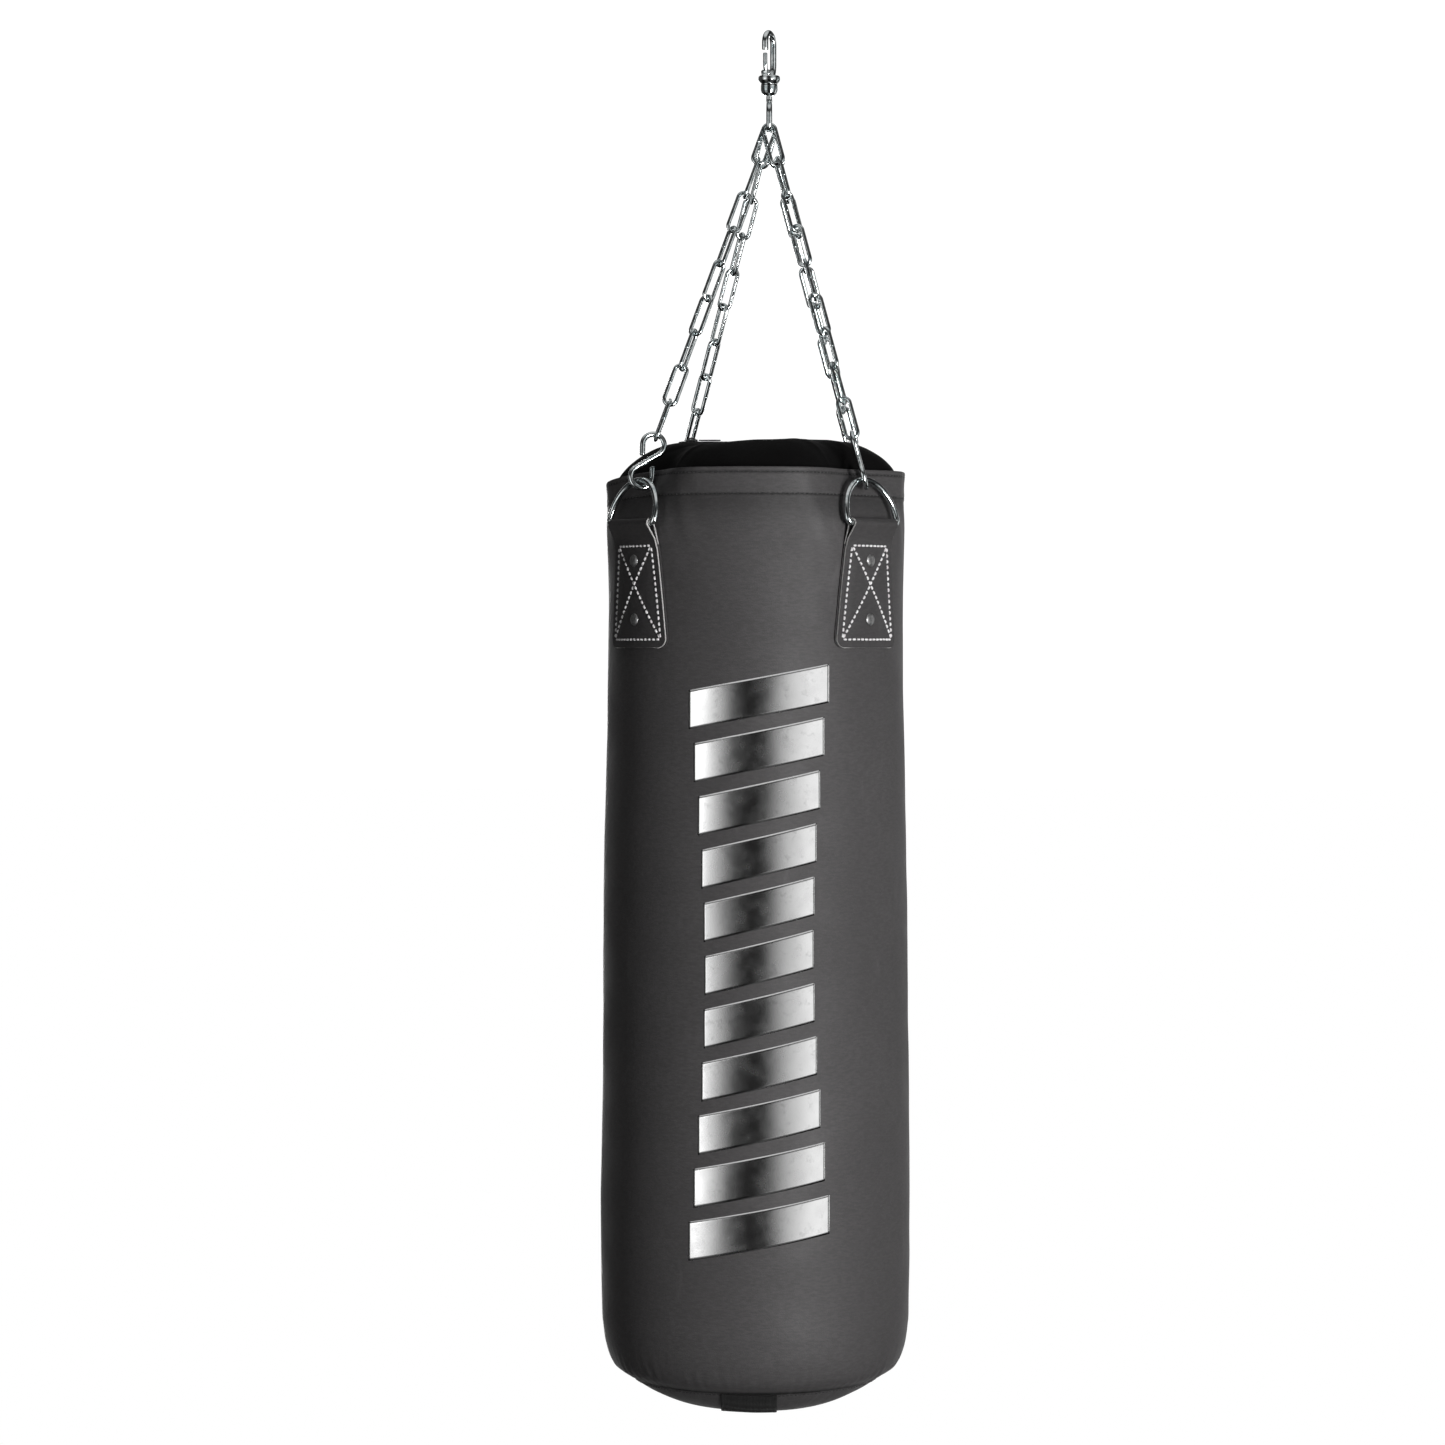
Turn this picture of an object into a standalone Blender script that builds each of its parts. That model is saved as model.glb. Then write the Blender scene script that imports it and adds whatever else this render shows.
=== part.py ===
"""Hanging heavy bag: leather-look cover, four chains, S-hooks, D-rings and a swivel snap hook.

The origin is the point where the hook bears on whatever holds it. +Z is up, and the front faces -Y.
"""
from math import acos, atan2, cos, hypot, pi, radians, sin, sqrt

import bmesh
import bpy
from mathutils import Matrix, Vector

# --- driving dimensions, metres ---
HOOK_WIRE = 0.0076            # diameter of the snap hook's bar
HOOK_INNER_RADIUS = 0.0085    # inside of the hook's top bend
HOOK_TURN = 67.0              # degrees between the hook's plane and the XZ plane
GATE_WIRE = 0.0052
GATE_TIP_Z = -0.0205
GATE_PIVOT = (-0.0092, -0.0425)   # in the hook's plane: across, height
PIN_RADIUS = 0.0013
PIN_LENGTH = 0.0112
COLLAR_TOP = -0.0460
COLLAR_RADIUS = 0.0130
NUT_RADIUS = 0.0100
NECK_BORE = 0.0039            # radius of the hole that the swivel's shank turns in
HEAD_BORE = 0.0072            # radius of the chamber round the swivel's head
HEAD_TOP = -0.0530
HEAD_BOTTOM = -0.0606
HEAD_RADIUS = 0.0067
SHANK_RADIUS = 0.0035
BOSS_SIZE = (0.0088, 0.0080, 0.0112)   # the lug that holds the gate's pin
BOSS_DROP = 0.0010            # the lug's middle below the pin
SLOT_SIZE = (0.0140, 0.0068, 0.0062)
SLOT_RISE = 0.0016            # the slot's middle above the lug's
GATE_FOOT_RADIUS = 0.0026
GATE_FOOT_LENGTH = 0.0050
EYE_WIRE = 0.0072
EYE_HALF_WIDTH = 0.0185       # wire centre, along Y
EYE_TOP = -0.0775
EYE_SHOULDER = 0.0150         # height of the eye's rounded top
EYE_BAR_Z = -0.1105
EYE_CORNER = 0.0060

LINKS_PER_CHAIN = 9
CHAIN_TURNS = 2               # whole turns of a chain from its first link to its last
LINK_WIRE = 0.0048
LINK_INNER_LENGTH = 0.0448
LINK_OUTER_WIDTH = 0.0190
BAR_PITCH = 0.0054            # spacing of the four top links along the eye's bar
S_WIRE = 0.0064
S_LOOP_RADIUS = 0.0126
S_HALF_SPACING = 0.0202
S_END_ANGLE = 198.0
S_TAIL = 0.0130
RING_WIRE = 0.0070
RING_HALF_BAR = 0.0425        # bar centre to the middle of a leg's foot
RING_HEIGHT = 0.0520
RING_FOOT_RADIUS = 0.0060
RING_LEAN = 15.0
RING_BAR_RADIUS = 0.1815      # bar's distance from the bag's axis
RING_BAR_Z = -0.5735
RING_PLAY = 0.0019            # slack between the ring's crown and the S-hook turned across it

BAG_X = -0.0160               # the bag's axis hangs this far to the side of the hook
COVER_THICKNESS = 0.0030
COVER_PROFILE = [             # radius and height of the cover's outside, rim to bottom seam
    (0.1735, -0.5113), (0.1726, -0.5290), (0.1730, -0.5500), (0.1738, -0.5800), (0.1722, -0.6600),
    (0.1732, -0.7900), (0.1765, -0.9400), (0.1782, -1.1600), (0.1805, -1.3600), (0.1795, -1.4780),
    (0.1780, -1.5045), (0.1742, -1.5275), (0.1655, -1.5480), (0.1500, -1.5595),
]
LID_FLAT_Z = -0.4745
LID_PROFILE = [
    (0.0, LID_FLAT_Z), (0.1000, LID_FLAT_Z), (0.1260, -0.4805), (0.1450, -0.4905), (0.1580, -0.5020),
    (0.1635, -0.5120), (0.1665, -0.5260), (0.1672, -0.5450),
]
PANEL_RADIUS = 0.1470
PANEL_EDGE_Z = -1.5600
PANEL_SAG = 0.0380
PANEL_FULLNESS = 3.2          # power of the panel's curve: 2 is a dish, more is flatter in the middle
FILLING_GAP = 0.0095          # between the filling and the outside of the cover
FILLING_FOOT = [(0.1540, -1.5420), (0.1300, -1.5600), (0.0900, -1.5820), (0.0, -1.5900)]
LID_GAP = 0.0080
DENT_DEPTH = 0.0290           # how far each ring presses the rim inwards
DENT_HALF_ANGLE = 30.0
DENT_FOOT_Z = -0.5700

STRAP_THICKNESS = 0.0018
STRAP_GAP = 0.0006
STRAP_LAYER_GAP = 0.0004
STRAP_FOLD_GAP = 0.0005       # between the ring's bar and the strap folded over it
STRAP_TOP_HALF = 0.0365
STRAP_BOTTOM_HALF = 0.0520
STRAP_BOTTOM_Z = -0.7150
STRAP_CORNER = 0.0120
WRAP_START_Z = RING_BAR_Z - 0.0060     # above this the strap is flat, as the ring's straight bar is
WRAP_DROP = 0.0240            # below it the strap comes to follow the bag's curve over this drop
RIVET_RADIUS = 0.0071
RIVET_HEAD = 0.0020
RIVET_HEIGHTS = (-0.6155, -0.6828)
BOTTOM_STRAP_X = BAG_X - 0.0075
BOTTOM_STRAP_WIDTH = 0.0640
BOTTOM_STRAP_LENGTH = 0.2820
BOTTOM_STRAP_THICKNESS = 0.0025
BOTTOM_STRAP_GAP = 0.0012     # between the panel and the webbing

ZIP_Y = 0.0250
ZIP_LENGTH = 0.1800
ZIP_WIDTH = 0.0240
ZIP_THICKNESS = 0.0012
SLIDER_SIZE = (0.0140, 0.0090, 0.0044)
PULL_SIZE = (0.0260, 0.0080, 0.0014)
SLIDER_X = BAG_X - 0.0750
ZIP_RISE = 0.0005             # from the flat of the lid to the underside of the tape
PULL_RISE = 0.0018            # from the top of the tape to the middle of the pull tab
PULL_HINGE_GAP = 0.0011       # lets the pull tab stand up clear of the slider

GAP = 0.0003
AROUND = 44                   # facets round the bag
BLACK = (0.033, 0.031, 0.032)
CHROME = (0.72, 0.73, 0.74)

# name: degrees from the front towards +X, place on the eye's bar, S-hook's turn off the ring's wire,
# and how many steps from link to link are a plain quarter turn before the chain's twist begins
CHAINS = {
    "front_left": (-51.5, -0.85, -28.0, 1),
    "front_right": (47.7, -2.00, -51.0, 0),
    "back_right": (130.0, 0.85, 25.0, 0),
    "back_left": (-145.8, 2.00, 25.0, 0),
}


def clear_scene():
    for ob in list(bpy.data.objects):
        bpy.data.objects.remove(ob, do_unlink=True)


def new_collection(name):
    col = bpy.data.collections.new(name)
    bpy.context.scene.collection.children.link(col)
    return col


def material(name, colour, roughness, metallic):
    mat = bpy.data.materials.new(name)
    mat.use_nodes = True
    shader = mat.node_tree.nodes["Principled BSDF"]
    shader.inputs["Base Color"].default_value = (*colour, 1.0)
    shader.inputs["Roughness"].default_value = roughness
    shader.inputs["Metallic"].default_value = metallic
    return mat


def dress(ob, colour, roughness, metallic):
    """Puts the object in the part's collection with a material of its own."""
    PARTS.objects.link(ob)
    if ob.data.users > 1:
        ob.data = ob.data.copy()
    ob.data.materials.clear()
    ob.data.materials.append(material(ob.name, colour, roughness, metallic))
    return ob


def chrome(ob):
    return dress(ob, CHROME, 0.2, 1.0)


def leather(ob):
    return dress(ob, BLACK, 0.6, 0.0)


def smooth(ob, angle=40.0):
    ob.data.shade_smooth()
    ob.data.set_sharp_from_angle(angle=radians(angle))
    return ob


def mesh_object(name, bm):
    mesh = bpy.data.meshes.new(name)
    bm.to_mesh(mesh)
    bm.free()
    return bpy.data.objects.new(name, mesh)


def wire_curve(name, points, diameter, closed):
    """A round wire through the points."""
    curve = bpy.data.curves.new(name, "CURVE")
    curve.dimensions = "3D"
    curve.bevel_depth = diameter / 2
    curve.bevel_resolution = 2
    curve.use_fill_caps = True
    spline = curve.splines.new("POLY")
    spline.points.add(len(points) - 1)
    for place, p in zip(spline.points, points):
        place.co = (*p, 1.0)
    spline.use_cyclic_u = closed
    return curve


def as_mesh(ob, weld=1e-6):
    """The evaluated object as a new mesh object, its caps welded."""
    col = ob.users_collection[0] if ob.users_collection else None
    if col is None:
        bpy.context.scene.collection.objects.link(ob)
    bpy.context.view_layer.update()
    deps = bpy.context.evaluated_depsgraph_get()
    mesh = bpy.data.meshes.new_from_object(ob.evaluated_get(deps))
    name, matrix = ob.name, ob.matrix_world.copy()
    bpy.data.objects.remove(ob, do_unlink=True)
    bm = bmesh.new()
    bm.from_mesh(mesh)
    bmesh.ops.remove_doubles(bm, verts=bm.verts, dist=weld)
    bm.to_mesh(mesh)
    bm.free()
    made = bpy.data.objects.new(name, mesh)
    made.matrix_world = matrix
    return made


def turned(name, profile, steps):
    """A profile of (radius, height) swept round Z. It runs down the outer side, top to bottom."""
    bm = bmesh.new()
    verts = [bm.verts.new((r, 0.0, z)) for r, z in profile]
    for a, b in zip(verts, verts[1:]):
        bm.edges.new((a, b))
    ob = mesh_object(name, bm)
    screw = ob.modifiers.new("turn", "SCREW")
    screw.axis = "Z"
    screw.angle = 2 * pi
    screw.steps = steps
    screw.render_steps = steps
    screw.use_merge_vertices = True
    screw.merge_threshold = 0.0001
    screw.use_normal_calculate = True
    return ob


def outward(ob):
    """Makes a closed mesh's faces point out."""
    bm = bmesh.new()
    bm.from_mesh(ob.data)
    bmesh.ops.remove_doubles(bm, verts=bm.verts, dist=1e-5)
    bmesh.ops.recalc_face_normals(bm, faces=bm.faces)
    if bm.calc_volume(signed=True) < 0:
        bmesh.ops.reverse_faces(bm, faces=bm.faces)
    bm.to_mesh(ob.data)
    bm.free()
    return ob


def solidify(ob, thickness, offset):
    mod = ob.modifiers.new("thickness", "SOLIDIFY")
    mod.thickness = thickness
    mod.offset = offset
    mod.use_even_offset = True
    return ob


def combine(ob, tool, operation):
    """A Boolean with a hidden tool object."""
    if not tool.users_collection:
        CUTTERS.objects.link(tool)
    tool.hide_render = True
    tool.display_type = "WIRE"
    mod = ob.modifiers.new(operation.lower(), "BOOLEAN")
    mod.operation = operation
    mod.solver = "EXACT"
    mod.object = tool
    return ob


def cylinder(name, radius, depth, matrix, sides=16):
    bm = bmesh.new()
    bmesh.ops.create_cone(bm, cap_ends=True, segments=sides, radius1=radius, radius2=radius, depth=depth)
    ob = mesh_object(name, bm)
    ob.matrix_world = matrix
    return ob


def box(name, size, centre):
    bm = bmesh.new()
    bmesh.ops.create_cube(bm, size=1.0)
    bmesh.ops.scale(bm, vec=size, verts=bm.verts)
    ob = mesh_object(name, bm)
    ob.location = centre
    return ob


def frame_matrix(across, up, normal, place):
    """A matrix whose X, Y and Z columns are the three directions."""
    rot = Matrix((across, up, normal)).transposed()
    return Matrix.Translation(place) @ rot.to_4x4()


def arc(centre, radius, start, end, count):
    """Points of a plane arc, in degrees, both ends included."""
    turns = [radians(start + (end - start) * k / (count - 1)) for k in range(count)]
    return [(centre[0] + radius * cos(t), centre[1] + radius * sin(t)) for t in turns]


# --- directions round the bag ---
def outwards(angle):
    a = radians(angle)
    return Vector((sin(a), -cos(a), 0.0))


def along(angle):
    a = radians(angle)
    return Vector((cos(a), sin(a), 0.0))


def dent(angle, radius, z):
    """How far the rim, lid or filling is pressed inwards here."""
    depth = 0.0
    rise = min(1.0, max(0.0, (z - DENT_FOOT_Z) / (COVER_PROFILE[0][1] - DENT_FOOT_Z)))
    for chain_angle, _, _, _ in CHAINS.values():
        off = abs((angle - chain_angle + 180.0) % 360.0 - 180.0) / DENT_HALF_ANGLE
        if off < 1.0:
            depth += DENT_DEPTH * rise ** 1.2 * (0.5 + 0.5 * cos(pi * off))
    return depth * min(1.0, radius / 0.160) ** 2


def press_in(ob):
    """Presses a turned mesh inwards at the four rings and moves it to the bag's axis."""
    for v in ob.data.vertices:
        radius = hypot(v.co.x, v.co.y)
        if radius > 1e-6:
            angle = atan2(v.co.x, -v.co.y) * 180.0 / pi
            keep = (radius - dent(angle, radius, v.co.z)) / radius
            v.co.x *= keep
            v.co.y *= keep
        v.co.x += BAG_X
    return ob


# --- the swivel snap hook ---
def hook_directions():
    turn = radians(HOOK_TURN)
    across = Vector((cos(turn), sin(turn), 0.0))
    return across, Vector((0.0, 0.0, 1.0)), across.cross(Vector((0.0, 0.0, 1.0)))


def in_hook_plane(points):
    across, up, _ = hook_directions()
    return [tuple(across * a + up * z) for a, z in points]


def pivot_matrix():
    across, up, normal = hook_directions()
    place = across * GATE_PIVOT[0] + up * GATE_PIVOT[1]
    return frame_matrix(across, up, normal, place)


def hook_body():
    radius = HOOK_INNER_RADIUS + HOOK_WIRE / 2
    centre = (0.0, -HOOK_INNER_RADIUS)
    foot = [(0.0068, -0.0480), (0.0095, -0.0435), (0.0115, -0.0385), (radius, -0.0330)]
    nose = [(-radius + 0.0002, -0.0140), (-radius + 0.0005, -0.0175)]
    path = in_hook_plane(foot + arc(centre, radius, 0.0, 180.0, 11) + nose)
    bar = as_mesh(bpy.data.objects.new("hook_bar", wire_curve("hook_bar", path, HOOK_WIRE, False)))
    outward(bar)
    profile = [
        (0.0, COLLAR_TOP), (0.0115, COLLAR_TOP), (COLLAR_RADIUS, -0.0475), (COLLAR_RADIUS, -0.0515),
        (0.0110, -0.0545), (0.0095, -0.0556), (NUT_RADIUS, -0.0575), (NUT_RADIUS, -0.0630),
        (0.0085, -0.0670), (0.0055, -0.0696), (NECK_BORE, -0.0696), (NECK_BORE, HEAD_BOTTOM - 0.0004),
        (HEAD_BORE, HEAD_BOTTOM - 0.0004), (HEAD_BORE, HEAD_TOP + 0.0005), (0.0, HEAD_TOP + 0.0005),
    ]
    body = outward(as_mesh(turned("hook_body", profile, 24), 1e-5))
    across, up, normal = hook_directions()
    boss = box("hook_boss", BOSS_SIZE, (0, 0, 0))
    place = across * GATE_PIVOT[0] + up * (GATE_PIVOT[1] - BOSS_DROP)
    boss.matrix_world = frame_matrix(across, up, normal, place)
    slot = box("gate_slot", SLOT_SIZE, (0, 0, 0))
    slot.matrix_world = frame_matrix(across, up, normal, place + up * SLOT_RISE)
    hole = cylinder("pin_hole", PIN_RADIUS + GAP, 2 * PIN_LENGTH, pivot_matrix(), 12)
    combine(body, bar, "UNION")
    combine(body, boss, "UNION")
    combine(body, slot, "DIFFERENCE")
    combine(body, hole, "DIFFERENCE")
    return chrome(body)


def hook_gate():
    path = in_hook_plane([(-0.0096, -0.0410), (-0.0112, -0.0375), (-0.0120, -0.0320), (-0.0121, GATE_TIP_Z)])
    curve = wire_curve("gate_bar", path, GATE_WIRE, False)
    bar = outward(as_mesh(bpy.data.objects.new("hook_gate", curve)))
    foot = cylinder("gate_foot", GATE_FOOT_RADIUS, GATE_FOOT_LENGTH, pivot_matrix(), 16)
    hole = cylinder("gate_hole", PIN_RADIUS + GAP, 2 * PIN_LENGTH, pivot_matrix(), 12)
    combine(bar, foot, "UNION")
    combine(bar, hole, "DIFFERENCE")
    return chrome(bar)


def gate_pin():
    return chrome(smooth(cylinder("gate_pin", PIN_RADIUS, PIN_LENGTH, pivot_matrix(), 12)))


def swivel_eye():
    """The swivel's button head and shank, and the flat-bottomed eye that carries the chains."""
    shank_end = EYE_TOP - 0.0015
    head = [
        (0.0, HEAD_TOP), (HEAD_RADIUS, HEAD_TOP), (HEAD_RADIUS, HEAD_BOTTOM), (SHANK_RADIUS, HEAD_BOTTOM),
        (SHANK_RADIUS, shank_end), (0.0, shank_end),
    ]
    shank = outward(as_mesh(turned("swivel_eye", head, 16), 1e-5))
    turns = [radians(t) for t in (0, 22, 45, 68, 90)]
    right = [(EYE_HALF_WIDTH * sin(t), EYE_TOP - EYE_SHOULDER * (1 - cos(t))) for t in turns]
    right += arc((EYE_HALF_WIDTH - EYE_CORNER, EYE_BAR_Z + EYE_CORNER), EYE_CORNER, 0, -90, 5)
    loop = right + [(-a, b) for a, b in reversed(right[1:])]
    path = [(0.0, a, b) for a, b in loop]
    eye = outward(as_mesh(bpy.data.objects.new("eye_loop", wire_curve("eye_loop", path, EYE_WIRE, True))))
    combine(shank, eye, "UNION")
    return chrome(shank)


# --- chains ---
def link_points():
    radius = (LINK_OUTER_WIDTH - LINK_WIRE) / 2
    reach = (LINK_INNER_LENGTH + LINK_WIRE) / 2 - radius
    ends = arc((0, reach), radius, 0, 180, 5) + arc((0, -reach), radius, 180, 360, 5)
    return [(a, b, 0.0) for a, b in ends]


def s_hook_points():
    """An S in its own plane: two open loops with straight tails, joined by a straight diagonal."""
    lean = 90.0 - acos(S_LOOP_RADIUS / S_HALF_SPACING) * 180.0 / pi
    top = arc((0, S_HALF_SPACING), S_LOOP_RADIUS, S_END_ANGLE, -lean, 9)
    end = radians(S_END_ANGLE)
    top.insert(0, (top[0][0] - S_TAIL * sin(end), top[0][1] + S_TAIL * cos(end)))
    return [(a, b, 0.0) for a, b in top + [(-a, -b) for a, b in reversed(top)]]


def ring_points():
    """The D-ring: a half ellipse over a straight bar along X at height 0, its feet rounded."""
    rise = RING_HEIGHT - RING_FOOT_RADIUS
    feet = arc((RING_HALF_BAR - RING_FOOT_RADIUS, RING_FOOT_RADIUS), RING_FOOT_RADIUS, -90, 0, 5)
    turns = [radians(90.0 * k / 7) for k in range(1, 8)]
    arch = [(RING_HALF_BAR * cos(t), RING_FOOT_RADIUS + rise * sin(t)) for t in turns]
    right = feet + arch
    return [(a, b, 0.0) for a, b in right + [(-a, b) for a, b in reversed(right[:-1])]]


def ring_up(angle):
    lean = radians(RING_LEAN)
    return outwards(angle) * -sin(lean) + Vector((0, 0, cos(lean)))


def ring_bar(angle):
    return Vector((BAG_X, 0, RING_BAR_Z)) + outwards(angle) * RING_BAR_RADIUS


def square_to(direction, vector):
    return (vector - direction * vector.dot(direction)).normalized()


def turned_about(direction, vector, degrees):
    return Matrix.Rotation(radians(degrees), 3, direction) @ vector


def link_rolls(down, hook_normal, plain_steps):
    """Each link's roll from the first, which lies across the eye's bar, to the last, square to the S-hook."""
    steps = LINKS_PER_CHAIN - 1
    start = square_to(down, Vector((0, 1, 0)))
    target = turned_about(down, hook_normal, 90.0)
    needed = atan2(start.cross(target).dot(down), start.dot(target)) * 180.0 / pi
    total = needed + 360.0 * CHAIN_TURNS
    late = (total - 90.0 * plain_steps) / (steps - plain_steps)
    rolls = [90.0 * min(k, plain_steps) + late * max(0, k - plain_steps) for k in range(LINKS_PER_CHAIN)]
    return start, rolls


def chain(name, angle, place_on_bar, hook_turn, plain_steps, link_curve, hook_curve, ring_curve):
    crown = ring_bar(angle) + ring_up(angle) * RING_HEIGHT
    bar = Vector((0, place_on_bar * BAR_PITCH, EYE_BAR_Z))
    span = (crown - bar).length
    down = (crown - bar).normalized()
    up = -down
    half_link = (LINK_INNER_LENGTH + LINK_WIRE) / 2
    s_top = S_HALF_SPACING + S_LOOP_RADIUS - S_WIRE / 2
    ring_to_hook = s_top - RING_WIRE / 2 - RING_PLAY
    hook_to_link = s_top - LINK_WIRE / 2 - GAP
    above_bar = (EYE_WIRE + LINK_WIRE) / 2 + 2 * GAP
    last = span - ring_to_hook - hook_to_link
    spacing = (last - 2 * half_link + above_bar) / (LINKS_PER_CHAIN - 1)
    side = along(angle)
    hook_normal = turned_about(up, square_to(up, side), hook_turn)
    start, rolls = link_rolls(down, hook_normal, plain_steps)
    for k in range(LINKS_PER_CHAIN):
        centre = bar + down * (half_link - above_bar + spacing * k)
        normal = turned_about(down, start, rolls[k])
        link = bpy.data.objects.new(f"{name}_link_{k + 1}", link_curve)
        link.matrix_world = frame_matrix(down.cross(normal), down, normal, centre)
        chrome(link)
    hook = bpy.data.objects.new(f"{name}_s_hook", hook_curve)
    hook.matrix_world = frame_matrix(up.cross(hook_normal), up, hook_normal, crown + up * ring_to_hook)
    chrome(hook)
    ring = bpy.data.objects.new(f"{name}_d_ring", ring_curve)
    ring.matrix_world = frame_matrix(side, ring_up(angle), side.cross(ring_up(angle)), ring_bar(angle))
    chrome(ring)


# --- hanger straps ---
def cover_radius(z):
    for (r0, z0), (r1, z1) in zip(COVER_PROFILE, COVER_PROFILE[1:]):
        if z1 <= z <= z0:
            return r0 + (r1 - r0) * (z0 - z) / (z0 - z1)
    return COVER_PROFILE[-1][0]


def strap_path():
    """Radius and height along the folded strap: up the inner layer, over the bar, down the outer."""
    fold = (RING_WIRE + STRAP_THICKNESS) / 2 + STRAP_FOLD_GAP
    inner = []
    for rise in (0.0, 0.0015, 0.0050, STRAP_CORNER, 0.0500, 0.0900, 0.1200):
        z = STRAP_BOTTOM_Z + rise
        inner.append((cover_radius(z) + STRAP_GAP + STRAP_THICKNESS / 2, z))
    step = STRAP_THICKNESS + STRAP_LAYER_GAP
    outer = [(r + step, z) for r, z in reversed(inner)]
    loop = arc((RING_BAR_RADIUS, RING_BAR_Z), fold, 180, -22, 8)
    return inner + loop + outer


def strap_half_width(z):
    share = min(1.0, max(0.0, (RING_BAR_Z - z) / (RING_BAR_Z - STRAP_BOTTOM_Z)))
    half = STRAP_TOP_HALF + (STRAP_BOTTOM_HALF - STRAP_TOP_HALF) * share
    rise = z - STRAP_BOTTOM_Z
    if rise < STRAP_CORNER:
        half -= STRAP_CORNER - sqrt(STRAP_CORNER ** 2 - (STRAP_CORNER - rise) ** 2)
    return half


def strap(name, angle):
    path = strap_path()
    rows = len(path) - 1
    bm = bmesh.new()
    bmesh.ops.create_grid(bm, x_segments=6, y_segments=rows, size=1.0)
    middle, side = outwards(angle), along(angle)
    for v in bm.verts:
        radius, z = path[round((v.co.y + 1) / 2 * rows)]
        offset = v.co.x * strap_half_width(z)
        wrap = min(1.0, max(0.0, (WRAP_START_Z - z) / WRAP_DROP))
        turn = offset / radius
        curved = middle * (radius * cos(turn)) + side * (radius * sin(turn))
        flat = middle * radius + side * offset
        v.co = flat.lerp(curved, wrap) + Vector((BAG_X, 0, z))
    ob = mesh_object(f"{name}_strap", bm)
    solidify(ob, STRAP_THICKNESS, 0.0)
    for k, z in enumerate(RIVET_HEIGHTS):
        inner = cover_radius(z) + STRAP_GAP + STRAP_THICKNESS * 0.5
        outer = inner + 1.5 * STRAP_THICKNESS + STRAP_LAYER_GAP + RIVET_HEAD
        place = Vector((BAG_X, 0, z)) + middle * ((inner + outer) / 2)
        matrix = frame_matrix(side, Vector((0, 0, 1)), side.cross(Vector((0, 0, 1))), place)
        combine(ob, cylinder(f"{name}_rivet_{k}", RIVET_RADIUS, outer - inner, matrix, 12), "UNION")
    return leather(ob)


# --- the bag ---
def outer_cover():
    ob = press_in(as_mesh(turned("outer_cover", COVER_PROFILE, AROUND), 1e-5))
    solidify(ob, COVER_THICKNESS, -1.0)
    return leather(smooth(ob))


def top_lid():
    ob = press_in(as_mesh(turned("top_lid", LID_PROFILE, AROUND), 1e-5))
    solidify(ob, COVER_THICKNESS, -1.0)
    return leather(smooth(ob))


def panel_height(radius):
    return PANEL_EDGE_Z - PANEL_SAG * (1 - (radius / PANEL_RADIUS) ** PANEL_FULLNESS)


def bottom_panel():
    radii = [PANEL_RADIUS, 0.1330, 0.1140, 0.0900, 0.0600, 0.0]
    ob = as_mesh(turned("bottom_panel", [(r, panel_height(r)) for r in radii], 40), 1e-5)
    ob.location.x = BAG_X
    solidify(ob, COVER_THICKNESS, -1.0)
    return leather(smooth(ob))


def bottom_strap():
    """Webbing under the bottom panel, from the front seam to the back seam."""
    bm = bmesh.new()
    bmesh.ops.create_grid(bm, x_segments=2, y_segments=24, size=0.5)
    for v in bm.verts:
        x = BOTTOM_STRAP_X + v.co.x * BOTTOM_STRAP_WIDTH
        y = v.co.y * BOTTOM_STRAP_LENGTH
        z = panel_height(hypot(x - BAG_X, y)) - BOTTOM_STRAP_THICKNESS / 2 - BOTTOM_STRAP_GAP
        v.co = (x, y, z)
    ob = solidify(mesh_object("bottom_strap", bm), BOTTOM_STRAP_THICKNESS, 0.0)
    return dress(ob, (0.02, 0.02, 0.02), 0.8, 0.0)


def filling():
    """The packed textile filling, clear of the lid, the cover and the bottom panel."""
    top = [(max(0.0, r - LID_GAP), z - LID_GAP) for r, z in LID_PROFILE[:-2]]
    wall = [(r - FILLING_GAP, z) for r, z in COVER_PROFILE[2:-2]]
    ob = outward(press_in(as_mesh(turned("filling", top + wall + FILLING_FOOT, 32), 1e-5)))
    return dress(smooth(ob), (0.35, 0.33, 0.30), 0.95, 0.0)


def zip_chain():
    z = LID_FLAT_Z + ZIP_RISE + ZIP_THICKNESS / 2
    ob = box("zip_tape", (ZIP_LENGTH, ZIP_WIDTH, ZIP_THICKNESS), (BAG_X, ZIP_Y, z))
    return dress(ob, (0.02, 0.02, 0.02), 0.7, 0.0)


def zip_slider():
    top_of_tape = LID_FLAT_Z + ZIP_RISE + ZIP_THICKNESS
    z = top_of_tape + GAP + SLIDER_SIZE[2] / 2
    ob = box("zip_slider", SLIDER_SIZE, (SLIDER_X, ZIP_Y, z))
    bevel = ob.modifiers.new("edges", "BEVEL")
    bevel.width = 0.0012
    bevel.segments = 2
    return chrome(ob)


def zip_pull():
    """The pull tab lies along the tape, its ring end at the slider."""
    top_of_tape = LID_FLAT_Z + ZIP_RISE + ZIP_THICKNESS
    x = SLIDER_X + SLIDER_SIZE[0] / 2 + PULL_HINGE_GAP + PULL_SIZE[0] / 2
    ob = box("zip_pull", PULL_SIZE, (x, ZIP_Y, top_of_tape + PULL_RISE))
    bevel = ob.modifiers.new("edges", "BEVEL")
    bevel.width = 0.0005
    bevel.segments = 2
    return chrome(ob)


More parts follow.
